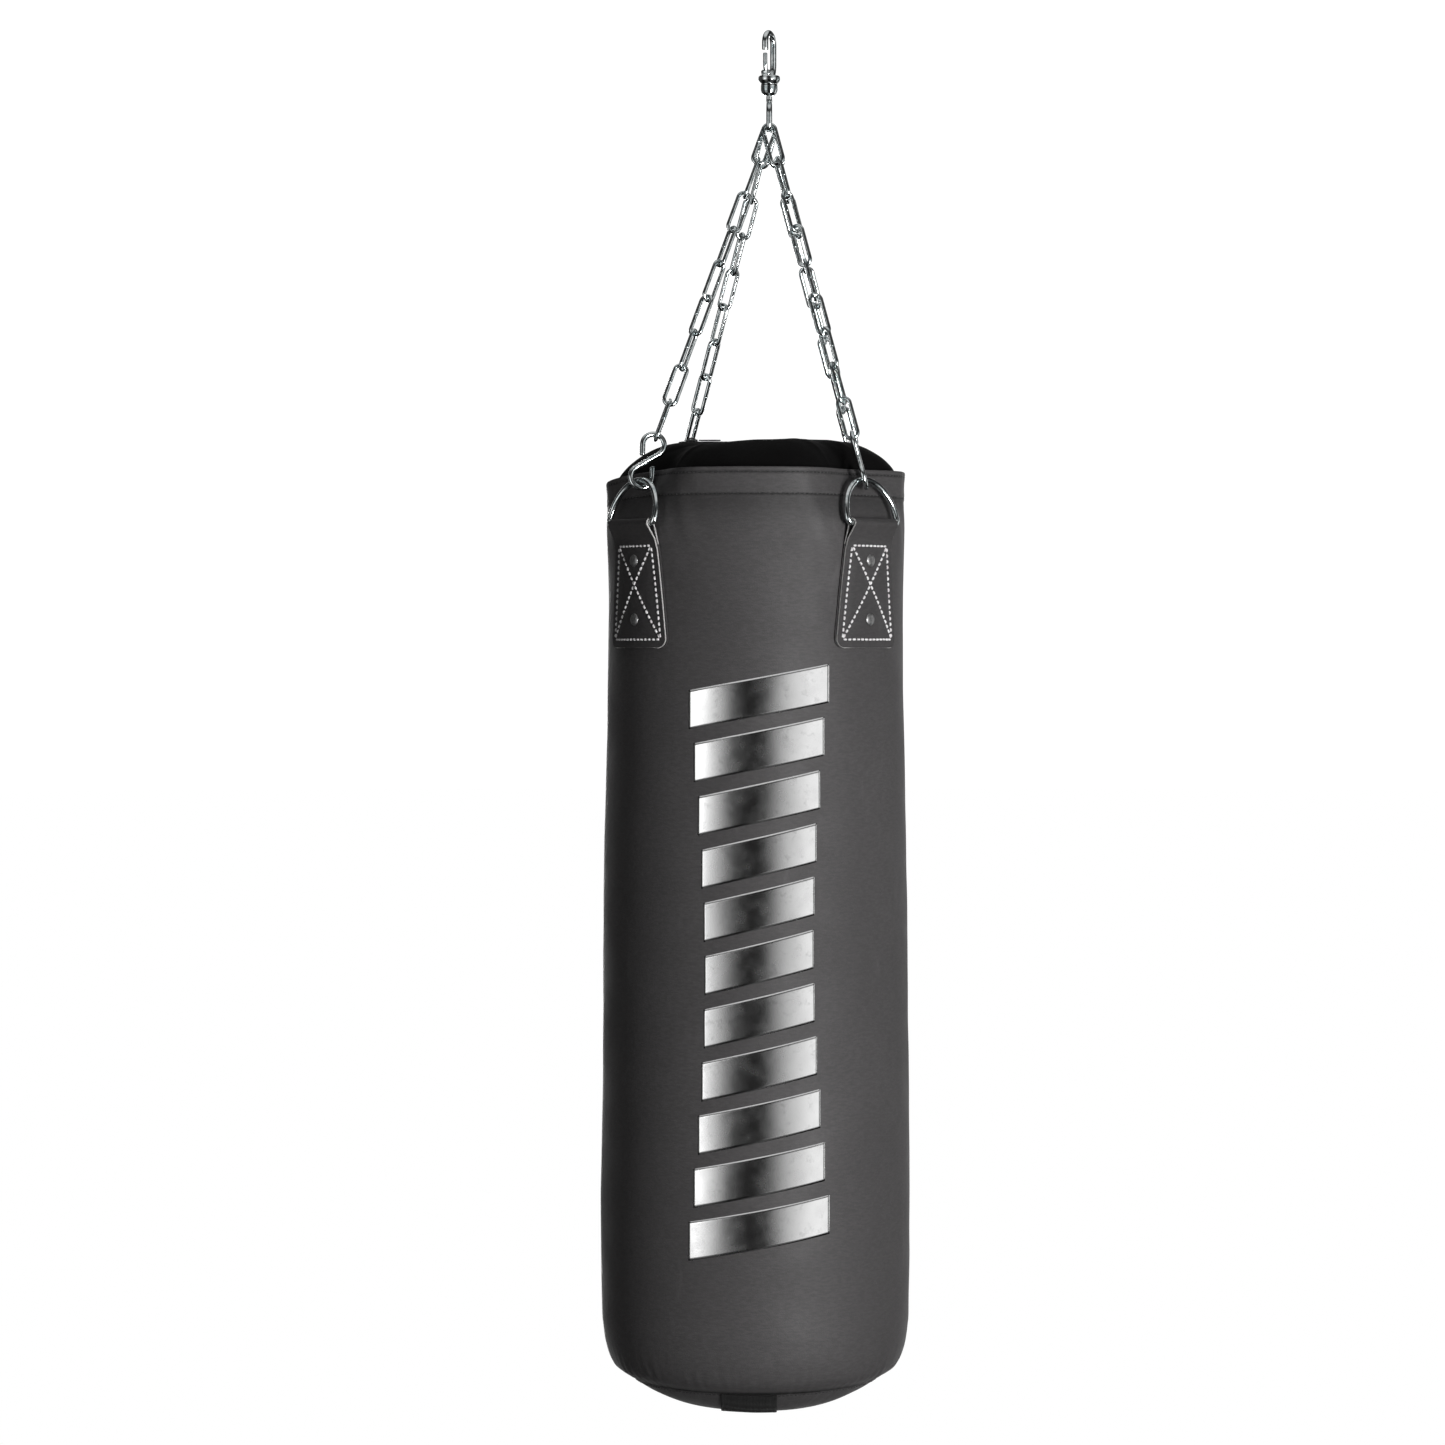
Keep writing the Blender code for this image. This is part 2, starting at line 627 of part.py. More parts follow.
def build():
    hook_body()
    hook_gate()
    gate_pin()
    swivel_eye()
    link_curve = wire_curve("chain_link", link_points(), LINK_WIRE, True)
    hook_curve = wire_curve("s_hook", s_hook_points(), S_WIRE, False)
    ring_curve = wire_curve("d_ring", ring_points(), RING_WIRE, True)
    for name, (angle, place, hook_turn, plain_steps) in CHAINS.items():
        chain(name, angle, place, hook_turn, plain_steps, link_curve, hook_curve, ring_curve)
        strap(name, angle)
    outer_cover()
    top_lid()
    bottom_panel()
    bottom_strap()
    filling()
    zip_chain()
    zip_slider()
    zip_pull()


clear_scene()
PARTS = new_collection("hanging_heavy_bag")
CUTTERS = new_collection("cutters")
build()
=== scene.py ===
"""Looks of the hanging heavy bag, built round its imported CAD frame.

Everything is in metres in the CAD frame: the origin is where the hook bears, +Z is up, the front faces -Y.
"""
import random
from math import acos, atan2, cos, exp, hypot, pi, radians, sin, sqrt, tanh

import bmesh
import bpy
import numpy as np
from mathutils import Matrix, Vector, noise


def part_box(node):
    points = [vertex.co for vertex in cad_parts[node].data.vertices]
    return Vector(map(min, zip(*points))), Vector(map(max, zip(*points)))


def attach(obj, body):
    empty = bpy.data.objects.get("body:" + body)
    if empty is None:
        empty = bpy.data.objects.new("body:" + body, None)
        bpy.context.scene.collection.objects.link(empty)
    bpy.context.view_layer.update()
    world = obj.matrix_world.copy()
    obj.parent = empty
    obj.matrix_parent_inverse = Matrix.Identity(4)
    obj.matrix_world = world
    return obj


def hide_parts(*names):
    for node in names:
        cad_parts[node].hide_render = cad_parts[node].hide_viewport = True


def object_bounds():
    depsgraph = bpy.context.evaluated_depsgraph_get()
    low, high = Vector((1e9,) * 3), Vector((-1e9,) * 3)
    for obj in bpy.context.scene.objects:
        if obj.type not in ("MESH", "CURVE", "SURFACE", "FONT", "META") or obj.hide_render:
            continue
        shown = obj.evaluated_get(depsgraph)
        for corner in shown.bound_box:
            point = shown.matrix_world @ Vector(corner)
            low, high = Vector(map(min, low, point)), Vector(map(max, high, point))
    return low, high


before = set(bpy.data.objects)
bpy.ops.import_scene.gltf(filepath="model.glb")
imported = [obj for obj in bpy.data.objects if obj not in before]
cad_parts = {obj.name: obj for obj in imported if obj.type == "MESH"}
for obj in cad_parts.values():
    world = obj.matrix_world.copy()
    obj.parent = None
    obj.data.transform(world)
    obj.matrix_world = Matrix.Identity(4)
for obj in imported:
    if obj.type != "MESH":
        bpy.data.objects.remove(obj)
CAD_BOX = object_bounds()

# --- sizes shared with the CAD source ---
HOOK_WIRE = 0.0076
HOOK_INNER_RADIUS = 0.0085
HOOK_TURN = 67.0
GATE_WIRE = 0.0052
GATE_TIP_Z = -0.0205
GATE_PIVOT = (-0.0092, -0.0425)
PIN_RADIUS = 0.0013
PIN_LENGTH = 0.0112
COLLAR_TOP = -0.046
COLLAR_RADIUS = 0.013
EYE_WIRE = 0.0072
EYE_HALF_WIDTH = 0.0185
EYE_BAR_Z = -0.1105
EYE_CORNER = 0.006
EYE_TOP = -0.0775

LINKS_PER_CHAIN = 9
CHAIN_TURNS = 2
LINK_WIRE = 0.0048
LINK_INNER_LENGTH = 0.0448
LINK_OUTER_WIDTH = 0.019
BAR_PITCH = 0.0054
S_WIRE = 0.0064
S_LOOP_RADIUS = 0.0126
S_HALF_SPACING = 0.0202
S_END_ANGLE = 198.0
S_TAIL = 0.013
RING_WIRE = 0.007
RING_HALF_BAR = 0.0425
RING_HEIGHT = 0.052
RING_FOOT_RADIUS = 0.006
RING_LEAN = 15.0
RING_BAR_RADIUS = 0.1815
RING_BAR_Z = -0.5735
RING_PLAY = 0.0019
GAP = 0.0003

BAG_X = -0.016
COVER_THICKNESS = 0.003
COVER_PROFILE = [
    (0.1735, -0.5113), (0.1726, -0.529), (0.173, -0.55), (0.1738, -0.58), (0.1722, -0.66),
    (0.1732, -0.79), (0.1765, -0.94), (0.1782, -1.16), (0.1805, -1.36), (0.1795, -1.478),
    (0.178, -1.5045), (0.1742, -1.5275), (0.1655, -1.548), (0.15, -1.5595),
]
LID_FLAT_Z = -0.4745
LID_PROFILE = [
    (0.0, LID_FLAT_Z), (0.05, LID_FLAT_Z), (0.1, LID_FLAT_Z), (0.126, -0.4805), (0.145, -0.4905),
    (0.158, -0.502), (0.1635, -0.512), (0.1665, -0.526), (0.1672, -0.545),
]
PANEL_RADIUS = 0.147
PANEL_EDGE_Z = -1.56
PANEL_SAG = 0.038
PANEL_FULLNESS = 3.2
DENT_DEPTH = 0.029
DENT_HALF_ANGLE = 30.0
DENT_FOOT_Z = -0.57

STRAP_THICKNESS = 0.0018
STRAP_GAP = 0.0006
STRAP_LAYER_GAP = 0.0004
STRAP_TOP_HALF = 0.0365
STRAP_BOTTOM_HALF = 0.052
STRAP_BOTTOM_Z = -0.715
STRAP_CORNER = 0.012
RIVET_RADIUS = 0.0071
RIVET_HEIGHTS = (-0.6155, -0.6828)
BOTTOM_STRAP_X = BAG_X - 0.0075
BOTTOM_STRAP_WIDTH = 0.064

ZIP_Y = 0.025
ZIP_LENGTH = 0.18
ZIP_WIDTH = 0.024
ZIP_THICKNESS = 0.0012
SLIDER_SIZE = (0.014, 0.009, 0.0044)
PULL_SIZE = (0.026, 0.008, 0.0014)
SLIDER_X = BAG_X - 0.075
ZIP_RISE = 0.0005
PULL_RISE = 0.0018
PULL_HINGE_GAP = 0.0011

# name: degrees from the front towards +X, place on the eye's bar, S-hook's turn, plain quarter turns
CHAINS = {
    "front_left": (-51.5, -0.85, -28.0, 1),
    "front_right": (47.7, -2.00, -51.0, 0),
    "back_right": (130.0, 0.85, 25.0, 0),
    "back_left": (-145.8, 2.00, 25.0, 0),
}
CHAIN_ANGLES = [settings[0] for settings in CHAINS.values()]

# --- looks ---
RIM_DROOP = 0.014
BOTTOM_STRAP_LIFT = 0.0012
LID_TILT = 0.045
HEM_TOP_STITCH_Z = -0.5163
HEM_STITCH_Z = -0.5406
BACK_SEAM_ANGLE = 180.0
BACK_STITCHES = (0.013, 0.019)
STITCH_TOP_Z = -0.5988
STITCH_BOTTOM_Z = -0.7055
STITCH_TOP_HALF = 0.03
STITCH_BOTTOM_HALF = 0.043
GRAPHIC_TOP_Z = -0.748
GRAPHIC_BOTTOM_Z = -1.392
GRAPHIC_X = 0.0045
GRAPHIC_HALF_WIDTH = 0.086
GRAPHIC_WAIST = 0.023
GRAPHIC_BARS = 11
GRAPHIC_GAP = 0.016
GRAPHIC_SLANT = 0.03

UP = Vector((0.0, 0.0, 1.0))
RANDOM = random.Random(11)


# --- materials ---
class Nodes:
    """Adds shader nodes to a tree. Each value is a constant or another node's output."""

    def __init__(self, tree):
        self.tree = tree

    def set(self, node, values):
        for key, value in values.items():
            if hasattr(value, "is_output"):
                self.tree.links.new(value, node.inputs[key])
            else:
                node.inputs[key].default_value = value

    def add(self, kind, values, **options):
        node = self.tree.nodes.new("ShaderNode" + kind)
        for key, value in options.items():
            setattr(node, key, value)
        self.set(node, values)
        return node

    def math(self, operation, a, b):
        return self.add("Math", {0: a, 1: b}, operation=operation).outputs[0]

    def mix(self, share, a, b, blend="MIX"):
        return self.add("Mix", {0: share, 6: a, 7: b}, data_type="RGBA", blend_type=blend).outputs[2]

    def ramp(self, value, low, high, start=0.0, end=1.0, kind="SMOOTHSTEP"):
        values = {"Value": value, "From Min": low, "From Max": high, "To Min": start, "To Max": end}
        return self.add("MapRange", values, interpolation_type=kind).outputs["Result"]

    def bands(self, value, stops):
        """A grey that goes by the value, through stops of (value, brightness)."""
        low, high = stops[0][0], stops[-1][0]
        node = self.add("ValToRGB", {"Fac": self.ramp(value, low, high, kind="LINEAR")})
        elements = node.color_ramp.elements
        while len(elements) < len(stops):
            elements.new(0.5)
        for element, (at, brightness) in zip(elements, stops):
            element.position = (at - low) / (high - low)
            element.color = grey(brightness)
        return node.outputs["Color"]

    def either(self, share, first, second):
        """The first shader where the share is 0, the second where it is 1."""
        return self.add("MixShader", {0: share, 1: first, 2: second}).outputs[0]


class Finish(Nodes):
    """A procedural material in the making: its nodes share the piece's own coordinates."""

    def __init__(self, name, colour, roughness, metallic=0.0, **constants):
        self.material = bpy.data.materials.new(name)
        self.material.use_nodes = True
        super().__init__(self.material.node_tree)
        self.shader = self.tree.nodes["Principled BSDF"]
        self.coords = self.add("TexCoord", {}).outputs["Object"]
        self.look(Base_Color=(*colour, 1.0), Roughness=roughness, Metallic=metallic, **constants)

    def look(self, **values):
        """Sets the shader's sockets by their names."""
        self.set(self.shader, {key.replace("_", " "): value for key, value in values.items()})

    def noise(self, scale, detail=3.0, rough=0.5, stretch=None):
        vector = self.coords
        if stretch:
            vector = self.add("Mapping", {"Vector": vector, "Scale": stretch}).outputs["Vector"]
        values = {"Scale": scale, "Detail": detail, "Roughness": rough, "Vector": vector}
        return self.add("TexNoise", values).outputs["Fac"]

    def pebbles(self, scale):
        values = {"Scale": scale, "Vector": self.coords}
        return self.add("TexVoronoi", values, feature="SMOOTH_F1").outputs["Distance"]

    def ribs(self, scale, distortion, direction):
        values = {"Scale": scale, "Distortion": distortion, "Vector": self.coords}
        return self.add("TexWave", values, bands_direction=direction).outputs["Fac"]

    def bump(self, height, distance, strength=1.0):
        values = {"Height": height, "Distance": distance, "Strength": strength}
        before = self.shader.inputs["Normal"]
        if before.is_linked:
            values["Normal"] = before.links[0].from_socket
        self.look(Normal=self.add("Bump", values).outputs["Normal"])


def grey(value, warm=0.0):
    return (value * (1 + warm), value * (1 - warm * 0.5), value * (1 + warm * 0.1), 1.0)


WHITE = (1.0, 1.0, 1.0, 1.0)


def leatherette(name, shade, roughness, scuffs, gloss=0.28):
    """Coated fabric: pebbled grain, faint streaks, uneven tone and pale scuffs, with painted shade along its
    seams and under its hem.
    """
    fin = Finish(name, grey(shade)[:3], roughness, Specular_IOR_Level=gloss, Sheen_Weight=0.07 * gloss)
    tone = fin.ramp(fin.noise(7.0, 4.0), 0.3, 0.7)
    colour = fin.mix(tone, grey(shade * 0.88, 0.03), grey(shade * 1.12, 0.03))
    speckle = fin.ramp(fin.noise(1500.0, 2.0), 0.35, 0.75)
    colour = fin.mix(speckle, colour, grey(shade * 1.35, 0.03))
    streaks = fin.ramp(fin.noise(1.0, 3.0, 0.6, (130.0, 130.0, 430.0)), 0.3, 0.7, 0.0, 0.55)
    colour = fin.mix(streaks, colour, grey(shade * 0.72, 0.03))
    marks = fin.ramp(fin.noise(24.0, 6.0, 0.65, (1.0, 1.0, 0.35)), 0.6, 0.78, 0.0, scuffs)
    colour = fin.mix(marks, colour, grey(shade * 2.2, 0.02))
    # painted shade: a share stored on the mesh darkens the colour in the seams and under the hem
    painted_shade = fin.add("Attribute", {}, attribute_name="painted_shade").outputs["Fac"]
    dull = fin.ramp(fin.noise(16.0, 4.0), 0.25, 0.75, roughness - 0.05, roughness + 0.07)
    fin.look(Base_Color=fin.mix(painted_shade, colour, grey(0.002)), Roughness=dull)
    fin.bump(fin.pebbles(760.0), 0.00016, 0.8)
    fin.bump(fin.noise(2600.0), 0.00006, 0.7)
    return fin.material


def metal(name, base, roughness, tints, scales, polish, relief):
    """Plated metal: cloudy tint, uneven polish and fine pits, with the scales of the three in that order."""
    fin = Finish(name, base, roughness, 1.0)
    tint = fin.mix(fin.ramp(fin.noise(scales[0], 4.0), 0.35, 0.7), *tints)
    fin.look(Base_Color=tint, Roughness=fin.ramp(fin.noise(scales[1]), 0.3, 0.7, *polish))
    fin.bump(fin.noise(scales[2]), 0.00006, relief)
    return fin.material


def thread(name, shade):
    """Twisted sewing thread."""
    fin = Finish(name, grey(shade)[:3], 0.75, Sheen_Weight=0.25)
    soil = fin.ramp(fin.noise(160.0), 0.35, 0.75)
    fin.look(Base_Color=fin.mix(soil, grey(shade), grey(shade * 0.72, 0.05)))
    fin.bump(fin.ribs(380.0, 1.5, "DIAGONAL"), 0.00015, 0.8)
    return fin.material


def cut_edge():
    """The pale core that shows where the straps were cut."""
    fin = Finish("cut_edge", (0.16, 0.155, 0.15), 0.8)
    fibres = fin.ramp(fin.noise(900.0, 4.0, 0.7), 0.3, 0.7)
    fin.look(Base_Color=fin.mix(fibres, (0.3, 0.295, 0.29, 1.0), (0.62, 0.61, 0.6, 1.0)))
    fin.bump(fibres, 0.0002, 0.7)
    return fin.material


def webbing():
    """Black woven strap."""
    fin = Finish("black_webbing", (0.008, 0.008, 0.008), 0.85, Specular_IOR_Level=0.2, Sheen_Weight=0.05)
    weave = fin.math("MULTIPLY", fin.ribs(130.0, 0.6, "Y"), fin.ribs(190.0, 0.4, "X"))
    fin.look(Base_Color=fin.mix(weave, grey(0.004), grey(0.012)))
    fin.bump(weave, 0.0005, 0.8)
    return fin.material


def foil():
    """Glossy printed foil over the grain of the cover, rubbed and creased."""
    fin = Finish("printed_foil", (0.5, 0.5, 0.5), 0.2, 1.0)
    rubbed = fin.ramp(fin.noise(90.0, 6.0, 0.7), 0.52, 0.72)
    polish = fin.ramp(fin.noise(60.0, 5.0), 0.3, 0.7, 0.2, 0.28)
    fin.look(Base_Color=fin.mix(rubbed, grey(0.84), grey(0.7)), Roughness=polish)
    fin.bump(fin.pebbles(760.0), 0.00008, 0.25)
    fin.bump(fin.noise(55.0, 5.0, 0.6, (0.5, 0.5, 3.0)), 0.0004, 0.15)
    return fin.material


def scraps():
    """Mixed textile cuttings."""
    fin = Finish("textile_filling", (0.35, 0.33, 0.3), 0.95)
    cell = fin.add("TexVoronoi", {"Scale": 60.0, "Vector": fin.coords})
    fin.look(Base_Color=fin.mix(0.75, cell.outputs["Color"], (0.3, 0.29, 0.28, 1.0)))
    fin.bump(cell.outputs["Distance"], 0.004, 0.8)
    return fin.material


def zip_cloth():
    """Ribbed black zip tape."""
    fin = Finish("zip_tape", (0.016, 0.016, 0.017), 0.8, Specular_IOR_Level=0.2, Sheen_Weight=0.03)
    rib = fin.ribs(260.0, 0.4, "X")
    fin.look(Base_Color=fin.mix(rib, grey(0.01), grey(0.026)))
    fin.bump(rib, 0.0002, 0.7)
    return fin.material


# --- mesh tools ---
def placed(name, data, matrix=None):
    """A new object in the scene."""
    ob = bpy.data.objects.new(name, data)
    bpy.context.scene.collection.objects.link(ob)
    if matrix is not None:
        ob.matrix_world = matrix
    return ob


def mesh_piece(name, verts, faces, finish, matrix=None):
    mesh = bpy.data.meshes.new(name)
    mesh.from_pydata([tuple(v) for v in verts], [], [tuple(int(i) for i in f) for f in faces])
    mesh.materials.append(finish)
    mesh.shade_smooth()
    mesh.update()
    return placed(name, mesh, matrix)


def bmesh_piece(name, bm, finish, matrix=None):
    mesh = bpy.data.meshes.new(name)
    bm.to_mesh(mesh)
    bm.free()
    mesh.materials.append(finish)
    mesh.shade_smooth()
    return placed(name, mesh, matrix)


def grid_faces(rows, cols, wrap_rows=False, wrap_cols=False, start=0):
    """Quads of a grid whose point (i, j) has index start + i * cols + j."""
    i = np.arange(rows if wrap_rows else rows - 1)
    j = np.arange(cols if wrap_cols else cols - 1)
    i, j = [a.ravel() for a in np.meshgrid(i, j, indexing="ij")]
    low, right = (i + 1) % rows, (j + 1) % cols
    return np.stack([i * cols + j, i * cols + right, low * cols + right, low * cols + j], 1) + start


def settle(ob, weld=1e-6, sharp=None):
    """Welds coincident points and turns the faces outwards."""
    bm = bmesh.new()
    bm.from_mesh(ob.data)
    bmesh.ops.remove_doubles(bm, verts=bm.verts, dist=weld)
    bmesh.ops.recalc_face_normals(bm, faces=bm.faces)
    bm.to_mesh(ob.data)
    bm.free()
    ob.data.shade_smooth()
    if sharp:
        ob.data.set_sharp_from_angle(angle=radians(sharp))
    return ob


def modified(ob, kind, **settings):
    """The object with one modifier applied."""
    modifier = ob.modifiers.new(kind, kind)
    for key, value in settings.items():
        setattr(modifier, key, value)
    bpy.context.view_layer.update()
    deps = bpy.context.evaluated_depsgraph_get()
    mesh = bpy.data.meshes.new_from_object(ob.evaluated_get(deps))
    ob.modifiers.clear()
    ob.data = mesh
    return ob


def rounded_edges(ob, width, finish_index=-1):
    """Rounds the sharp edges, whose faces may take another of the piece's finishes."""
    modified(ob, "BEVEL", width=width, segments=2, limit_method="ANGLE", angle_limit=radians(60),
             material=finish_index)


def cut_by(ob, tool):
    modified(ob, "BOOLEAN", operation="DIFFERENCE", solver="EXACT", object=tool)
    bpy.data.objects.remove(tool, do_unlink=True)


def recoat(ob, finish, sharp=180.0):
    """One finish all over, smooth apart from edges that turn by more than this angle."""
    ob.data.materials.clear()
    ob.data.materials.append(finish)
    ob.data.shade_smooth()
    ob.data.set_sharp_from_angle(angle=radians(sharp))
    return ob


def facing(across, up, place=(0, 0, 0)):
    """The place of a flat shape whose x runs along across and whose y runs along up."""
    rot = Matrix((across, up, across.cross(up))).transposed()
    return Matrix.Translation(place) @ rot.to_4x4()


def arc(centre, radius, start, end, count):
    turns = [radians(start + (end - start) * k / (count - 1)) for k in range(count)]
    return [(centre[0] + radius * cos(t), centre[1] + radius * sin(t)) for t in turns]


def smooth_curve(points, per_span):
    """A Catmull-Rom curve through the points."""
    pts = [np.array(p, float) for p in points]
    pts = [2 * pts[0] - pts[1]] + pts + [2 * pts[-1] - pts[-2]]
    made = []
    for a, b, c, d in zip(pts, pts[1:], pts[2:], pts[3:]):
        for k in range(per_span):
            t = k / per_span
            made.append(0.5 * (2 * b + (c - a) * t + (2 * a - 5 * b + 4 * c - d) * t ** 2
                               + (3 * b - a - 3 * c + d) * t ** 3))
    return [tuple(p) for p in made] + [tuple(pts[-2])]


def lengths(pts):
    """How far along the polyline each of its points is."""
    return np.concatenate([[0.0], np.cumsum(np.linalg.norm(np.diff(pts, axis=0), axis=1))])


def sampled(pts, run, at):
    """The polyline's points at some lengths along it."""
    return np.stack([np.interp(at, run, column) for column in pts.T], 1)


def even(points, step):
    """The points of a polyline at an even spacing close to step."""
    pts = np.array(points, float)
    run = lengths(pts)
    return sampled(pts, run, np.linspace(0.0, run[-1], max(2, round(run[-1] / step) + 1)))


def filleted(points, radius, count=4, closed=False):
    """A polyline whose corners are rounded."""
    pts = [np.array(p, float) for p in points]
    made = []
    for k, b in enumerate(pts):
        if not closed and k in (0, len(pts) - 1):
            made.append(b)
            continue
        a, c = pts[k - 1], pts[(k + 1) % len(pts)]
        la, lc = np.linalg.norm(a - b), np.linalg.norm(c - b)
        cut = min(radius, 0.45 * la, 0.45 * lc)
        start, end = b + (a - b) / la * cut, b + (c - b) / lc * cut
        for t in np.linspace(0.0, 1.0, count):
            made.append((1 - t) ** 2 * start + 2 * t * (1 - t) * b + t ** 2 * end)
    return [tuple(p) for p in made]


def circle(count):
    """Cosines and sines of evenly spaced turns."""
    turns = np.arange(count) * 2 * pi / count
    return np.cos(turns), np.sin(turns)


def bar(name, path, radii, finish, sides=16, closed=False, matrix=None, squeeze=1.0):
    """A round bar along a flat path in the XY plane, with one radius for all of it or one for each point."""
    pts = np.array(path, float)[:, :2]
    radii = np.broadcast_to(np.array(radii, float), len(pts))[:, None]
    run = np.roll(pts, -1, 0) - np.roll(pts, 1, 0) if closed else np.gradient(pts, axis=0)
    run /= np.linalg.norm(run, axis=1)[:, None]
    side = np.stack([run[:, 1], -run[:, 0]], 1)
    cosines, sines = circle(sides)
    flat = pts[:, None] + side[:, None] * (radii * cosines)[:, :, None]
    high = radii * sines * squeeze
    verts = np.concatenate([flat, high[:, :, None]], 2).reshape(-1, 3)
    faces = list(grid_faces(len(pts), sides, closed, True))
    if not closed:
        last = (len(pts) - 1) * sides
        faces += [range(sides), range(last + sides - 1, last - 1, -1)]
    return settle(mesh_piece(name, verts, faces, finish, matrix))


def blunt_ends(path, radius, chamfer):
    """The path with its two ends drawn in, and the radius at each point."""
    pts = even(path, radius / 2.5)
    run = lengths(pts)
    steps = np.array([0.0, 0.12, 0.35, 0.65, 1.0]) * chamfer
    middle = run[(run > chamfer * 1.3) & (run < run[-1] - chamfer * 1.3)]
    at = np.concatenate([steps, middle, run[-1] - steps[::-1]])
    deep = np.clip(np.minimum(at, run[-1] - at) / chamfer, 0.0, 1.0)
    return sampled(pts, run, at), radius * (0.62 + 0.38 * np.sqrt(1 - (1 - deep) ** 2))


def turned(name, profile, finish, steps=64, matrix=None, sharp=None):
    """A profile of (radius, height) swept round Z."""
    cosines, sines = circle(steps)
    verts = [(r * x, r * y, z) for r, z in profile for x, y in zip(cosines, sines)]
    faces = [tuple(dict.fromkeys(f)) for f in grid_faces(len(profile), steps, False, True)]
    return settle(mesh_piece(name, verts, faces, finish, matrix), 1e-7, sharp)


def fused(name, parts, finish, voxel, smoothing, tools=()):
    """Overlapping closed pieces melted into one forged-looking body, then cut by the tools."""
    bm = bmesh.new()
    for part in parts:
        part.data.transform(part.matrix_world)
        bm.from_mesh(part.data)
        bpy.data.objects.remove(part, do_unlink=True)
    ob = bmesh_piece(name, bm, finish)
    modified(ob, "REMESH", mode="VOXEL", voxel_size=voxel)
    modified(ob, "SMOOTH", factor=0.5, iterations=smoothing)
    for tool in tools:
        cut_by(ob, tool)
    return recoat(ob, finish, 50)


def block(name, size, matrix, finish, edge, count=3):
    """A block with rounded edges."""
    bm = bmesh.new()
    bmesh.ops.create_cube(bm, size=1.0)
    bmesh.ops.scale(bm, vec=size, verts=bm.verts)
    bmesh.ops.bevel(bm, geom=bm.edges[:], offset=edge, segments=count, profile=0.6, affect="EDGES")
    return bmesh_piece(name, bm, finish, matrix)


def settled_on(ob, body, slot, *nodes):
    """The piece rides on its body and stands for its CAD nodes. The slot is not used."""
    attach(ob, body)
    if nodes:
        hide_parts(*nodes)
    return ob


def stitched(name, runs, finish, pitch, length, thick, proud):
    """Dashes of thread along runs of (point, outward direction), each dash dipping in at its ends."""
    share = np.array([0.0, 0.1, 0.28, 0.5, 0.72, 0.9, 1.0])
    lift = proud * np.array([-1.1, 0.2, 0.8, 1.0, 0.8, 0.2, -1.1])
    girth = thick / 2 * np.array([0.55, 0.9, 1.0, 1.06, 1.0, 0.9, 0.55])
    sides = 7
    cosines, sines = circle(sides)
    verts, faces = [], []
    for run in runs:
        pts = np.array([tuple(p) for p, _ in run], float)
        out = np.array([tuple(n) for _, n in run], float)
        gone = lengths(pts)
        count = max(1, round(gone[-1] / pitch))
        true_pitch = gone[-1] / count
        for k in range(count):
            at = (k + 0.5) * true_pitch + (share - 0.5) * length * true_pitch / pitch
            p, n = sampled(pts, gone, at), sampled(out, gone, at)
            n /= np.linalg.norm(n, axis=1)[:, None]
            t = np.gradient(p, axis=0)
            t /= np.linalg.norm(t, axis=1)[:, None]
            b = np.cross(t, n)
            middle = p + n * lift[:, None]
            ring = middle[:, None] + girth[:, None, None] * (
                cosines[None, :, None] * b[:, None] + sines[None, :, None] * n[:, None])
            start = len(verts)
            verts += list(ring.reshape(-1, 3))
            faces += list(grid_faces(len(share), sides, False, True, start))
            last = start + (len(share) - 1) * sides
            faces += [range(start + sides - 1, start - 1, -1), range(last, last + sides)]
    return settle(mesh_piece(name, verts, faces, finish), 1e-8)


# --- directions round the bag ---
def outwards(angle):
    a = radians(angle)
    return Vector((sin(a), -cos(a), 0.0))


def along(angle):
    a = radians(angle)
    return Vector((cos(a), sin(a), 0.0))


def off_angle(angle, other):
    """Signed degrees from the other direction, -180 to 180."""
    return (angle - other + 180.0) % 360.0 - 180.0


def dent(angle, radius, z):
    """How far the rim or lid is pressed inwards here."""
    rise = share_of(z - DENT_FOOT_Z, COVER_PROFILE[0][1] - DENT_FOOT_Z)
    depth = 0.0
    for chain_angle in CHAIN_ANGLES:
        off = abs(off_angle(angle, chain_angle)) / DENT_HALF_ANGLE
        if off < 1.0:
            depth += DENT_DEPTH * rise ** 1.2 * (0.5 + 0.5 * cos(pi * off))
    return depth * min(1.0, radius / 0.16) ** 2


COVER_CURVE = smooth_curve(COVER_PROFILE, 12)
ROUND = np.linspace(0.0, 360.0, 721).tolist()


def cover_radius(z):
    """The cover's outer radius at a height, off the curve through its profile."""
    heights = [p[1] for p in COVER_CURVE]
    return float(np.interp(-z, [-h for h in heights], [p[0] for p in COVER_CURVE]))


def share_of(value, whole):
    """The value as a share of the whole, kept between 0 and 1."""
    return min(1.0, max(0.0, value / whole))


def bell(distance, width):
    return exp(-(distance / width) ** 2)


def rising(distance, width):
    """0 before the place, 1 after it, with a soft step as wide as width."""
    return 0.5 + 0.5 * tanh(2.0 * distance / width)


